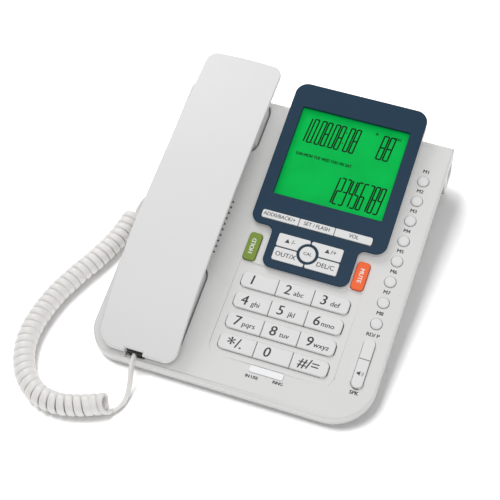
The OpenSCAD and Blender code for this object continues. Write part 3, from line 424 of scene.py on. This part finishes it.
def lettering(name, body, material, words):
    """Printed words as one thin mesh.

    words holds (text, height, matrix, weight, slope of the letters)."""
    bm = bmesh.new()
    for text, height, matrix, bold, lean in words:
        curve = bpy.data.curves.new("letters", "FONT")
        curve.body = text
        curve.size = height
        curve.align_x = "CENTER"
        curve.align_y = "CENTER"
        curve.shear = lean
        curve.resolution_u = 3
        holder = bpy.data.objects.new("letters", curve)
        bpy.context.scene.collection.objects.link(holder)
        bpy.context.view_layer.update()
        graph = bpy.context.evaluated_depsgraph_get()
        flat = bpy.data.meshes.new_from_object(holder.evaluated_get(graph))
        for layer in (-1, 0, 1) if bold else (0,):
            copy = flat.copy()
            copy.transform(matrix @ Matrix.Translation((layer * bold, 0, layer * 0.000004)))
            bm.from_mesh(copy)
            bpy.data.meshes.remove(copy)
        bpy.data.objects.remove(holder)
        bpy.data.curves.remove(curve)
        bpy.data.meshes.remove(flat)
    piece = add_object(name, mesh_from(name, bm), material)
    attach(piece, body)
    return piece


def smooth_path(points, step):
    """Points a step apart on a smooth curve through the given ones."""
    points = [Vector(p) for p in points]
    padded = [2 * points[0] - points[1]] + points + [2 * points[-1] - points[-2]]
    dense = []
    for k in range(1, len(padded) - 2):
        a, b, c, d = padded[k - 1:k + 3]
        for j in range(24):
            t = j / 24
            dense.append(0.5 * ((2 * b) + (c - a) * t + (2 * a - 5 * b + 4 * c - d) * t * t
                                + (3 * b - a - 3 * c + d) * t ** 3))
    dense.append(points[-1])
    lengths = [0.0]
    for a, b in zip(dense, dense[1:]):
        lengths.append(lengths[-1] + (b - a).length)
    count = max(2, round(lengths[-1] / step))
    result, k = [], 0
    for j in range(count + 1):
        target = lengths[-1] * j / count
        while k < len(lengths) - 2 and lengths[k + 1] < target:
            k += 1
        span = lengths[k + 1] - lengths[k]
        result.append(dense[k].lerp(dense[k + 1], (target - lengths[k]) / span if span else 0))
    return result


# ---------------------------------------------------------------- settings

class TelephoneSizes(bpy.types.PropertyGroup):
    """Sizes of the details that the scene adds."""
    coil_width: FloatProperty(name="Coil Width", description="Outside diameter of the curly cord",
                              default=0.0138, unit="LENGTH")
    cable_width: FloatProperty(name="Cable Width", description="Width of the flat cable",
                               default=0.0049, unit="LENGTH")
    cable_thickness: FloatProperty(name="Cable Thickness", description="Thickness of the flat cable",
                                   default=0.0024, unit="LENGTH")
    turn_pitch: FloatProperty(name="Turn Pitch",
                              description="Distance between two turns of the cord",
                              default=0.005, unit="LENGTH")
    digit_height: FloatProperty(name="Digit Height",
                                description="Type size of the digits on the keys",
                                default=0.009, unit="LENGTH")
    label_height: FloatProperty(name="Label Height",
                                description="Type size of the words on the case",
                                default=0.0034, unit="LENGTH")
    screen_slant: FloatProperty(name="Screen Slant", description="Lean of the display's digits",
                                default=math.radians(5), subtype="ANGLE")


class TelephoneColours(bpy.types.PropertyGroup):
    """Colours of the telephone's finishes."""
    case: FloatVectorProperty(name="Case", description="White of the case", subtype="COLOR",
                              default=(0.74, 0.735, 0.73), min=0, max=1)
    handset: FloatVectorProperty(name="Handset", description="White of the handset", subtype="COLOR",
                                 default=(0.76, 0.76, 0.76), min=0, max=1)
    keys: FloatVectorProperty(name="Keys", description="White of the keys", subtype="COLOR",
                              default=(0.78, 0.78, 0.78), min=0, max=1)
    bezel: FloatVectorProperty(name="Bezel", description="Dark blue of the display's bezel",
                               subtype="COLOR", default=(0.008, 0.036, 0.072), min=0, max=1)
    hold: FloatVectorProperty(name="Hold Key", description="Green of the hold key", subtype="COLOR",
                              default=(0.2, 0.3, 0.035), min=0, max=1)
    mute: FloatVectorProperty(name="Mute Key", description="Orange of the mute key", subtype="COLOR",
                              default=(0.95, 0.14, 0.03), min=0, max=1)
    # green of the display, also given off as its painted glow
    screen: FloatVectorProperty(name="Screen", description="Green of the lit display",
                                subtype="COLOR", default=(0.0, 0.42, 0.065), min=0, max=1)
    cord: FloatVectorProperty(name="Cord", description="Off-white of the cord", subtype="COLOR",
                              default=(0.82, 0.805, 0.785), min=0, max=1)
    ink: FloatVectorProperty(name="Ink", description="Dark grey of the printed words",
                             subtype="COLOR", default=(0.035, 0.035, 0.04), min=0, max=1)


# ---------------------------------------------------------------- operators

class TELEPHONE_OT_stage(bpy.types.Operator):
    """Floor, lamps, world and camera"""
    bl_idname = "telephone.stage"
    bl_label = "Stage"

    def execute(self, context):
        scene = context.scene
        scene.view_settings.view_transform = "Standard"
        bpy.ops.mesh.primitive_plane_add(size=6, location=(0, 0, -0.0002))
        floor = context.object
        floor.name = "floor"
        floor.data.materials.append(stage_floor())
        scene.world = stage_world()
        lamp("key_lamp", *KEY_LAMP)
        fill = lamp("fill_lamp", *FILL_LAMP)
        ground = lamp("ground_lamp", *GROUND_LAMP)
        only_floor = bpy.data.collections.new("only_floor")
        only_floor.objects.link(floor)
        ground.light_linking.receiver_collection = only_floor
        all_but_floor = bpy.data.collections.new("all_but_floor")
        all_but_floor.objects.link(floor)
        all_but_floor.collection_objects[0].light_linking.link_state = "EXCLUDE"
        fill.light_linking.receiver_collection = all_but_floor
        add_camera(scene)
        return {"FINISHED"}


def stage_floor():
    """White floor that keeps the object's shadow, and is brighter for the camera alone."""
    material = bpy.data.materials.new("floor_white")
    material.use_nodes = True
    tree = material.node_tree
    tree.nodes.clear()
    out = tree.nodes.new("ShaderNodeOutputMaterial")
    diffuse = value_node(tree, "ShaderNodeBsdfDiffuse", Color=(*[FLOOR_WHITE] * 3, 1))
    extra = value_node(tree, "ShaderNodeBsdfDiffuse", Color=(*[CAMERA_EXTRA] * 3, 1))
    add = tree.nodes.new("ShaderNodeAddShader")
    path = tree.nodes.new("ShaderNodeLightPath")
    mix = tree.nodes.new("ShaderNodeMixShader")
    tree.links.new(diffuse.outputs[0], add.inputs[0])
    tree.links.new(extra.outputs[0], add.inputs[1])
    tree.links.new(path.outputs["Is Camera Ray"], mix.inputs[0])
    tree.links.new(diffuse.outputs[0], mix.inputs[1])
    tree.links.new(add.outputs[0], mix.inputs[2])
    tree.links.new(mix.outputs[0], out.inputs["Surface"])
    return material


def stage_world():
    """Soft grey surround that the camera sees as white."""
    world = bpy.data.worlds.new("studio")
    world.use_nodes = True
    tree = world.node_tree
    background = tree.nodes["Background"]
    background.inputs["Color"].default_value = (1, 1, 1, 1)
    path = tree.nodes.new("ShaderNodeLightPath")
    strength = value_node(tree, "ShaderNodeMapRange")
    strength.inputs["To Min"].default_value = WORLD_LIGHT
    strength.inputs["To Max"].default_value = WORLD_SEEN
    tree.links.new(path.outputs["Is Camera Ray"], strength.inputs["Value"])
    tree.links.new(strength.outputs["Result"], background.inputs["Strength"])
    return world


def lamp(name, place, size, power):
    """Square soft lamp that faces the telephone."""
    light = bpy.data.lights.new(name, "AREA")
    light.size = size
    light.energy = power
    holder = bpy.data.objects.new(name, light)
    bpy.context.scene.collection.objects.link(holder)
    holder.location = place
    aim = Vector((0, 0, 0.02)) - Vector(place)
    holder.rotation_euler = aim.to_track_quat("-Z", "Y").to_euler()
    return holder


def add_camera(scene):
    """Camera to the front right, high over the keys, with the handset on the left."""
    camera = bpy.data.cameras.new("camera")
    camera.sensor_width = 36
    camera.lens = FOCAL_LENGTH
    holder = bpy.data.objects.new("camera", camera)
    scene.collection.objects.link(holder)
    right = Vector(CAMERA_RIGHT).normalized()
    forward = Vector(CAMERA_FORWARD).normalized()
    up = right.cross(forward).normalized()
    turn = Matrix((right, up, -forward)).transposed().to_4x4()
    holder.matrix_world = Matrix.Translation(CAMERA_PLACE) @ turn
    scene.camera = holder


class TELEPHONE_OT_cord(bpy.types.Operator):
    """Curly cord with its two flat leads"""
    bl_idname = "telephone.cord"
    bl_label = "Cord"

    def execute(self, context):
        sizes = context.scene.telephone_sizes
        radius = (sizes.coil_width - sizes.cable_thickness) / 2 - 0.0001
        axis = smooth_path([Vector((x, y, COIL_Z)) * MM for x, y in COIL_ROUTE], 0.0005)
        length = sum((b - a).length for a, b in zip(axis, axis[1:]))
        turns = round(length / sizes.turn_pitch)
        rings = cord_rings(axis, radius, turns)
        path = [ring[0] for ring in rings]
        total = sum((b - a).length for a, b in zip(path, path[1:]))
        piece = add_object("curly_cord", cord_mesh(rings, sizes.cable_width, sizes.cable_thickness),
                           finish("cord_white"))
        for polygon in piece.data.polygons:
            polygon.use_smooth = True
        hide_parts("cord_coil", "handset_lead", "base_lead")
        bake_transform(piece)
        tuple(path[0])
        [tuple(p) for p in path]
        # the handset's plug is clear, but it gets black here as painted shade for the dark of its
        # socket
        paint("handset_plug", finish("socket_black_and_plug_shade"))
        paint("base_plug", finish("clear_plug"))
        return {"FINISHED"}


def cord_rings(axis, radius, turns):
    """Places along the cable with its across and outward directions: lead, turns, lead."""
    start = math.radians(COIL_START)
    up = Vector((0, 0, 1))
    rings = []
    count = turns * PER_TURN
    for k in range(count + 1):
        place = k / count * (len(axis) - 1)
        i = min(int(place), len(axis) - 2)
        centre = axis[i].lerp(axis[i + 1], place - i)
        along = (axis[min(i + 6, len(axis) - 1)] - axis[max(i - 6, 0)]).normalized()
        angle = start + (2 * math.pi * turns - start - math.pi / 2) * k / count
        axial = along.lerp(OPEN_END, max(0.0, 1 - k / (OPEN_TURNS * PER_TURN))).normalized()
        side = up.cross(axial).normalized()
        rise = axial.cross(side)
        centre = centre - radius * (1 - rise.z) * up
        outward = math.cos(angle) * side + math.sin(angle) * rise
        rings.append((centre + radius * outward, axial, outward))
    first = lead_rings(HANDSET_LEAD, rings[0], ON_EDGE)
    last = lead_rings(BASE_LEAD, rings[-1], Vector((0, 1, 0)))
    last.reverse()
    return first + rings + last


def lead_rings(route, joint, first_across):
    """Rings of a flat lead that turns on edge and runs into the first or last turn."""
    points = smooth_path([Vector(p) * MM for p in route] + [joint[0]], LEAD_STEP)[:-1]
    last_across = joint[1] if ON_EDGE.dot(joint[1]) > 0 else -joint[1]
    rings = []
    for k, point in enumerate(points):
        heading = (points[min(k + 1, len(points) - 1)] - points[max(k - 1, 0)]).normalized()
        twist = min(1.0, k / TWIST_STEPS)
        join = min(1.0, max(0.0, 1 - (len(points) - k) / JOIN_STEPS))
        across = first_across.lerp(ON_EDGE, twist * twist * (3 - 2 * twist))
        across = across.lerp(last_across, join * join)
        across = (across - heading * across.dot(heading)).normalized()
        outward = heading.cross(across).normalized()
        rings.append((point, across, outward))
    return rings


def cord_mesh(rings, width, thickness):
    """Flat cable with round edges swept along the rings."""
    bm = bmesh.new()
    loops = []
    previous = None
    for centre, across, outward in rings:
        if previous and previous.dot(across) < 0:
            across, outward = -across, outward
        previous = across
        loop = []
        for k in range(CABLE_SIDES):
            angle = 2 * math.pi * k / CABLE_SIDES
            c, s = math.cos(angle), math.sin(angle)
            a = math.copysign(abs(c) ** EDGE_POWER, c) * width / 2
            b = math.copysign(abs(s) ** FACE_POWER, s) * thickness / 2
            loop.append(bm.verts.new(centre + a * across + b * outward))
        loops.append(loop)
    for near, far in zip(loops, loops[1:]):
        for k in range(CABLE_SIDES):
            j = (k + 1) % CABLE_SIDES
            bm.faces.new((near[k], near[j], far[j], far[k]))
    bm.faces.new(loops[0][::-1])
    bm.faces.new(loops[-1])
    bmesh.ops.recalc_face_normals(bm, faces=bm.faces)
    return mesh_from("curly_cord", bm)


class TELEPHONE_OT_case(bpy.types.Operator):
    """Case halves, feet, screws and what is inside"""
    bl_idname = "telephone.case"
    bl_label = "Case"

    def execute(self, context):
        soften("upper_case", "top_case", "case", finish("case_white"),
               [(0.0014, 4, case_rim_edge), (0.0007, 4, recess_edge), (0.0003, 2, key_hole_edge)],
               "case_upper")
        soften("lower_case", "bottom_case", "case", finish("case_white"),
               [(0.0006, 2, tray_edge)], "case_lower")
        for node, name in (
            ("battery_door", "case_white"), ("rubber_feet", "rubber"), ("case_screws", "steel"),
            ("battery_cells", "cell_wrap"), ("battery_contacts", "steel"),
            ("main_board", "board_green"), ("key_mat", "mat_rubber"), ("hook_plunger", "key_white"),
            ("loudspeaker", "cone_black"), ("line_jack", "socket_black_and_plug_shade"),
            ("cord_jack", "socket_black_and_plug_shade"), ("indicator_lens", "light_lens"),
        ):
            paint(node, finish(name))
        return {"FINISHED"}


def case_rim_edge(middle, heights):
    """Outer edges of the upper case."""
    x, s, h = middle
    outside = abs(x) > 84 or s < 4 or s > 190
    near_corner = s < 30 and abs(x) > 60
    return (outside or near_corner) and h > -1.5


def recess_edge(middle, heights):
    """Upper edge of the number keys' recess, at its sides and its front."""
    x, s, h = middle
    side = abs(x - PAD_X / MM)
    at_side = 36 < side < 39.8 and 21.5 < s < 84
    at_front = side < 39.8 and abs(s - 22.2) < 0.2
    return abs(h) < 0.2 and (at_side or at_front)


def key_hole_edge(middle, heights):
    """Edges of the holes and wells in the face, apart from the grille, the head's surround and
    the recess's sides."""
    x, s, h = middle
    side = abs(x - PAD_X / MM)
    grille = -56 < x < -28 and 82 < s < 126
    beside_head = side < 48 and 80 < s < 130
    recess_side = 22 < s < 80 and 36 < side < 40
    return h > -1.5 and not (grille or beside_head or recess_side)


def tray_edge(middle, heights):
    """Outer edges of the lower case."""
    x, s, h = middle
    return abs(x) > 82 or s < 8 or (s < 36 and abs(x) > 54)


class TELEPHONE_OT_handset(bpy.types.Operator):
    """Handset shells, receiver, microphone and socket"""
    bl_idname = "telephone.handset"
    bl_label = "Handset"

    def execute(self, context):
        soften("handset_top", "handset_back", "handset", finish("handset_white"),
               [(0.0008, 3, handset_top_edge)], "handset")
        soften("handset_under", "handset_front", "handset", finish("handset_white"),
               [(0.0008, 3, handset_under_edge)], "handset")
        paint("receiver", finish("cone_black"))
        paint("microphone", finish("cone_black"))
        paint("handset_jack", finish("socket_black_and_plug_shade"))
        return {"FINISHED"}


def handset_top_edge(middle, heights):
    """Edges round the handset's top."""
    return heights[1] > 0.7 and abs(heights[0]) < 0.4


def handset_under_edge(middle, heights):
    """Outer edges of the handset's inner shell, away from the sound holes."""
    x, s, h = middle
    return h > -3.5 or abs(x + 55) > 14


class TELEPHONE_OT_display(bpy.types.Operator):
    """Display head: housing, bezel, screen with a painted glow, its digits and the window"""
    bl_idname = "telephone.display"
    bl_label = "Display"

    def execute(self, context):
        soften("display_back", "display_housing", "case", finish("housing_white"),
               [(0.0004, 3, housing_edge)], "white_housing")
        soften("display_front", "display_bezel", "case", finish("navy"),
               [(0.0007, 3, bezel_edge), (0.00015, 2, key_window_edge)], "navy_bezel")
        paint("lcd_module", finish("screen"))
        paint("lcd_lens", finish("screen_window"))
        screen_digits(context.scene.telephone_sizes.screen_slant)
        screen_words()
        return {"FINISHED"}


def housing_edge(middle, heights):
    """Edges on the housing's outside, away from its narrow neck."""
    return middle.z > 0.5 and middle.y > 118


def bezel_edge(middle, heights):
    """Edges on the head's outside, away from the openings of its keys."""
    return middle.z > 0.5 and not key_window_edge(middle, heights)


def key_window_edge(middle, heights):
    """Edges of the openings for the head's keys."""
    x, s, h = middle
    side = abs(x - PAD_X / MM)
    direction_keys = side < 25.5 and 86 < s < 112
    bar_keys = side < 37.5 and 111 < s < 122.5
    return h > 0.5 and (direction_keys or bar_keys)


SEGMENTS = {
    "0": "abcdef", "1": "bc", "2": "abged", "3": "abgcd", "4": "fgbc", "5": "afgcd", "6": "afgedc",
    "7": "abc", "8": "abcdefg", "9": "abcdfg",
}


def digit_segments(digit, x, y, width, height, slant):
    """Ends of the lit segments of one digit, leaning by the slant."""
    half = height / 2
    spots = {
        "a": ((0, height), (width, height)), "b": ((width, height), (width, half)),
        "c": ((width, half), (width, 0)), "d": ((0, 0), (width, 0)), "e": ((0, half), (0, 0)),
        "f": ((0, height), (0, half)), "g": ((0, half), (width, half)),
    }
    for name in SEGMENTS[digit]:
        ends = []
        for px, py in spots[name]:
            ends.append(Vector((x + px + py * math.tan(slant), y + py, 0)))
        yield ends


def screen_digits(slant):
    """Lit segments of the display, as instances of one bar on points."""
    # text, its left end, distance between digits, foot, and a digit's width and height
    lines = [("1", -6.6, 3.9, 88.4, 2.6, 16.6), ("0", -2.0, 3.9, 88.4, 2.6, 16.6),
             ("08", 3.1, 3.9, 88.4, 2.6, 16.6), ("08", 12.1, 3.9, 88.4, 2.6, 16.6),
             ("08", 22.0, 3.9, 88.4, 2.6, 16.6), ("88", 43.6, 4.4, 89, 3.1, 16.4),
             ("123456789", 22.6, 3.75, 52.6, 2.5, 18)]
    dots = [(1.6, 88.6), (10.6, 88.6), (20.4, 93.5), (21.1, 101)]
    bars = []
    for text, x, step, foot, width, height in lines:
        for k, digit in enumerate(text):
            bars += list(digit_segments(digit, x + step * k, foot, width, height, slant))
    mesh = bpy.data.meshes.new("screen_digits")
    places, lengths, turns = [], [], []
    for a, b in bars:
        places.append((a + b) / 2)
        lengths.append((b - a).length - BAR_GAP)
        turns.append(math.atan2((b - a).y, (b - a).x))
    for x, y in dots:
        places.append(Vector((x, y, 0)))
        lengths.append(0.7)
        turns.append(0.0)
    mesh.from_pydata(places, [], [])
    for key, values in (("bar_length", lengths), ("bar_turn", turns)):
        attribute = mesh.attributes.new(key, "FLOAT", "POINT")
        attribute.data.foreach_set("value", values)
    holder = add_object("screen_digits_source", mesh)
    tree = segment_tree()
    modifier = holder.modifiers.new("segments", "NODES")
    modifier.node_group = tree
    sockets = {item.name: item.identifier for item in tree.interface.items_tree
               if item.in_out == "INPUT"}
    modifier[sockets["Stroke"]] = BAR_STROKE
    modifier[sockets["Ink"]] = finish("screen_ink")
    bpy.context.view_layer.update()
    graph = bpy.context.evaluated_depsgraph_get()
    flat = bpy.data.meshes.new_from_object(holder.evaluated_get(graph))
    bpy.data.objects.remove(holder)
    flat.transform(head_matrix(0, 0, (SCREEN_H + INK_RISE) * MM) @ Matrix.Scale(MM, 4))
    piece = add_object("screen_digits", flat, finish("screen_ink"))
    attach(piece, "case")


def segment_tree():
    """Geometry tree: a bar on each point, as long as its attribute says."""
    tree = bpy.data.node_groups.new("display_segments", "GeometryNodeTree")
    tree.interface.new_socket("Geometry", in_out="INPUT", socket_type="NodeSocketGeometry")
    stroke = tree.interface.new_socket("Stroke", in_out="INPUT", socket_type="NodeSocketFloat")
    stroke.default_value = BAR_STROKE
    tree.interface.new_socket("Ink", in_out="INPUT", socket_type="NodeSocketMaterial")
    tree.interface.new_socket("Geometry", in_out="OUTPUT", socket_type="NodeSocketGeometry")
    link = tree.links.new
    start = tree.nodes.new("NodeGroupInput")
    end = tree.nodes.new("NodeGroupOutput")
    bar = tree.nodes.new("GeometryNodeMeshCube")
    bar.inputs["Size"].default_value = (1, 1, 0.04)
    to_points = tree.nodes.new("GeometryNodeInstanceOnPoints")
    turn = tree.nodes.new("GeometryNodeInputNamedAttribute")
    turn.data_type = "FLOAT"
    turn.inputs["Name"].default_value = "bar_turn"
    length = tree.nodes.new("GeometryNodeInputNamedAttribute")
    length.data_type = "FLOAT"
    length.inputs["Name"].default_value = "bar_length"
    rotation = tree.nodes.new("ShaderNodeCombineXYZ")
    size = tree.nodes.new("ShaderNodeCombineXYZ")
    size.inputs["Z"].default_value = 1.0
    realize = tree.nodes.new("GeometryNodeRealizeInstances")
    coat = tree.nodes.new("GeometryNodeSetMaterial")
    link(start.outputs["Geometry"], to_points.inputs["Points"])
    link(bar.outputs["Mesh"], to_points.inputs["Instance"])
    link(turn.outputs["Attribute"], rotation.inputs["Z"])
    link(rotation.outputs["Vector"], to_points.inputs["Rotation"])
    link(length.outputs["Attribute"], size.inputs["X"])
    link(start.outputs["Stroke"], size.inputs["Y"])
    link(size.outputs["Vector"], to_points.inputs["Scale"])
    link(to_points.outputs["Instances"], realize.inputs["Geometry"])
    link(realize.outputs["Geometry"], coat.inputs["Geometry"])
    link(start.outputs["Ink"], coat.inputs["Material"])
    link(coat.outputs["Geometry"], end.inputs["Geometry"])
    return tree


def screen_words():
    """Small fixed words of the display."""
    depth = (SCREEN_H + 0.05) * MM
    days = "SUN MON TUE WED THU FRI SAT"
    words = [
        (days, 0.0031, head_matrix(0.0125, 0.0794, depth) @ Matrix.Diagonal((0.78, 1, 1, 1)),
         0.00014, 0),
        ("*", 0.0045, head_matrix(0.0399, 0.1045, depth), 0.00008, 0),
        ("MSG", 0.0024, head_matrix(0.0535, 0.1052, depth), 0.0001, 0),
    ]
    lettering("screen_words", "case", finish("screen_ink"), words)


class TELEPHONE_OT_keys(bpy.types.Operator):
    """All keys with rounded caps"""
    bl_idname = "telephone.keys"
    bl_label = "Keys"

    def execute(self, context):
        for nodes, colour, radius, steps, slot_name in (
            (NUMBER_KEYS, "key_white", 0.0007, 4, "keys"),
            (BAR_KEYS + NAV_KEYS, "key_white", 0.0003, 3, "keys"),
            (MEMORY_KEYS, "key_white", 0.0002, 2, "keys"),
            (PILL_KEYS, "key_white", 0.0006, 4, "keys"),
            (["key_hold"], "olive", 0.0007, 4, "hold_key"),
            (["key_mute"], "orange", 0.0007, 4, "mute_key"),
        ):
            for node in nodes:
                soften(node + "_cap", node, node + "_body", finish(colour),
                       [(radius, steps, cap_edge)], slot_name)
        return {"FINISHED"}


def cap_edge(middle, heights):
    """Edges of a key's cap above the face."""
    return middle.z > 0.1


class TELEPHONE_OT_lettering(bpy.types.Operator):
    """Digits, letters and words printed on the keys and the case"""
    bl_idname = "telephone.lettering"
    bl_label = "Lettering"

    def execute(self, context):
        sizes = context.scene.telephone_sizes
        number_lettering(sizes.digit_height)
        nav_lettering()
        case_lettering(sizes.label_height)
        return {"FINISHED"}


def number_lettering(height):
    """Digits with their letters on the number keys."""
    top = (KEY_RISE - PAD_RECESS + INK_RISE) * MM
    labels = [("1", ""), ("2", "abc"), ("3", "def"), ("4", "ghi"), ("5", "jkl"), ("6", "mno"),
              ("7", "pqrs"), ("8", "tuv"), ("9", "wxyz"), ("*/.", ""), ("0", ""), ("#/=", "")]
    for k, (big, small) in enumerate(labels):
        column, row = k % 3, k // 3
        x = PAD_X + (column - 1) * KEY_W
        s = (ROW_S + ROW_PITCH * (3 - row) + KEY_MIDDLE) * MM
        node = NUMBER_KEYS[k]
        shift = {"*/.": -0.0005, "#/=": -0.0008, "0": -0.004, "1": -0.0045}.get(big, -0.0048)
        words = [(big, height, face_matrix(x + shift, s, top), BOLD, 0.1)]
        if big == "*/.":
            words = [("*", height * 1.25, face_matrix(x - 0.0036, s - 0.0012, top), 0.0002, 0),
                     ("/.", height, face_matrix(x + 0.0014, s, top), BOLD, 0.1)]
        if small:
            beside = face_matrix(x + 0.0013 + 0.0004 * len(small), s - 0.0009, top)
            words.append((small, height * 0.52, beside, 0.00007, 0.1))
        lettering(node + "_print", node + "_body", finish("ink"), words)


def nav_lettering():
    """Words on the bar keys and the direction keys."""
    top = (NAV_RISE + INK_RISE) * MM
    bar = [("key_add", "ADD0/BACK/+", -0.0242), ("key_set", "SET / FLASH", 0.0),
           ("key_volume", "VOL", 0.0238)]
    for node, text, x in bar:
        place = head_matrix(PAD_X + x, 0.0331, top) @ Matrix.Diagonal((0.9, 1, 1, 1))
        lettering(node + "_print", node + "_body", finish("ink"), [(text, 0.0036, place, THIN, 0)])
    nav = [("key_up", "/-", -1, 19.0), ("key_down", "/+", 1, 19.4), ("key_out", "OUT/X", -1, 9.6),
           ("key_delete", "DEL/C", 1, 9.6)]
    for node, text, side, u in nav:
        x = PAD_X + side * 0.0128
        with_arrow = len(text) == 2
        place = head_matrix(x + (0.0024 if with_arrow else 0), u * MM, top)
        piece = lettering(node + "_print", node + "_body", finish("ink"),
                          [(text, 0.0042, place, THIN, 0)])
        if with_arrow:
            add_triangle(piece, head_matrix(x - 0.0016, u * MM, top))
    lettering("key_centre_print", "key_centre_body", finish("ink"),
              [("CAL", 0.0029, head_matrix(PAD_X, 0.0143, top), THIN, 0)])


def add_triangle(piece, matrix):
    """Small arrowhead added to a printed piece."""
    bm = bmesh.new()
    bm.from_mesh(piece.data)
    outline = ((-0.0016, -0.0012, 0), (0.0016, -0.0012, 0), (0, 0.0015, 0))
    corners = [matrix @ Vector(p) for p in outline]
    bm.faces.new([bm.verts.new(c) for c in corners])
    bm.to_mesh(piece.data)
    bm.free()


def case_lettering(height):
    """Words on the case beside its keys and its light."""
    top = INK_RISE * MM
    words = []
    for k in range(8):
        s = (MEM_S + MEM_PITCH * (7 - k) + LABEL_MIDDLE) * MM
        words.append(("M%d" % (k + 1), height, face_matrix(MEM_X, s, top), BOLD, 0))
    words.append(("RD/ P", height, face_matrix(MEM_X, 0.0607, top), 0.00012, 0))
    words.append(("SPK", height, face_matrix(MEM_X, 0.0228, top), 0.00014, 0))
    words.append(("IN USE", height * 0.8, face_matrix(0.0155, 0.0143, top), BOLD, 0))
    words.append(("RING", height * 0.8, face_matrix(0.0316, 0.0150, top), BOLD, 0))
    lettering("case_print", "case", finish("ink"), words)
    for node, text, side, turn in (("key_hold", "HOLD", -1, 90), ("key_mute", "MUTE", 1, -90)):
        place = face_matrix(PAD_X + side * 0.0348, 0.095, (KEY_RISE + INK_RISE) * MM)
        place = place @ Matrix.Rotation(math.radians(turn), 4, "Z")
        lettering(node + "_print", node + "_body", finish("white_ink"),
                  [(text, 0.0038, place, 0.0001, 0)])
    speaker_mark()


def speaker_mark():
    """Small loudspeaker sign on the speaker key."""
    place = face_matrix(MEM_X, 0.0348, (KEY_RISE + INK_RISE) * MM) @ Matrix.Scale(1.3, 4)
    bm = bmesh.new()
    outline = [(-1.4, -0.5), (-0.7, -0.5), (0.1, -1.2), (0.1, 1.2), (-0.7, 0.5), (-1.4, 0.5)]
    bm.faces.new([bm.verts.new(place @ (Vector((x, y, 0)) * MM)) for x, y in outline])
    for reach in (0.8, 1.4):
        arc = []
        for side in (reach, reach + 0.22):
            row = [(0.1 + side * math.cos(math.radians(d)), side * math.sin(math.radians(d)))
                   for d in range(-45, 46, 15)]
            arc.append([bm.verts.new(place @ (Vector((x, y, 0)) * MM)) for x, y in row])
        for k in range(len(arc[0]) - 1):
            bm.faces.new((arc[0][k], arc[1][k], arc[1][k + 1], arc[0][k + 1]))
    piece = add_object("speaker_mark", mesh_from("speaker_mark", bm), finish("ink"))
    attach(piece, "key_speaker_body")


class TELEPHONE_PT_panel(bpy.types.Panel):
    """Lists the telephone's pieces and settings"""
    bl_idname = "TELEPHONE_PT_panel"
    bl_label = "Telephone"
    bl_space_type = "VIEW_3D"
    bl_region_type = "UI"
    bl_category = "Telephone"

    def draw(self, context):
        layout = self.layout
        for operator in STEPS:
            layout.operator(operator.bl_idname)
        for group in (context.scene.telephone_sizes, context.scene.telephone_colours):
            for key in group.__annotations__:
                layout.prop(group, key)


STEPS = (TELEPHONE_OT_stage, TELEPHONE_OT_cord, TELEPHONE_OT_case, TELEPHONE_OT_handset,
         TELEPHONE_OT_display, TELEPHONE_OT_keys, TELEPHONE_OT_lettering)
CLASSES = (TelephoneSizes, TelephoneColours) + STEPS + (TELEPHONE_PT_panel,)


def register():
    for item in CLASSES:
        bpy.utils.register_class(item)
    bpy.types.Scene.telephone_sizes = PointerProperty(type=TelephoneSizes)
    bpy.types.Scene.telephone_colours = PointerProperty(type=TelephoneColours)


def unregister():
    del bpy.types.Scene.telephone_colours
    del bpy.types.Scene.telephone_sizes
    for item in reversed(CLASSES):
        bpy.utils.unregister_class(item)


def main():
    register()
    for operator in STEPS:
        category, name = operator.bl_idname.split(".")
        getattr(getattr(bpy.ops, category), name)()


if __name__ == "__main__":
    main()
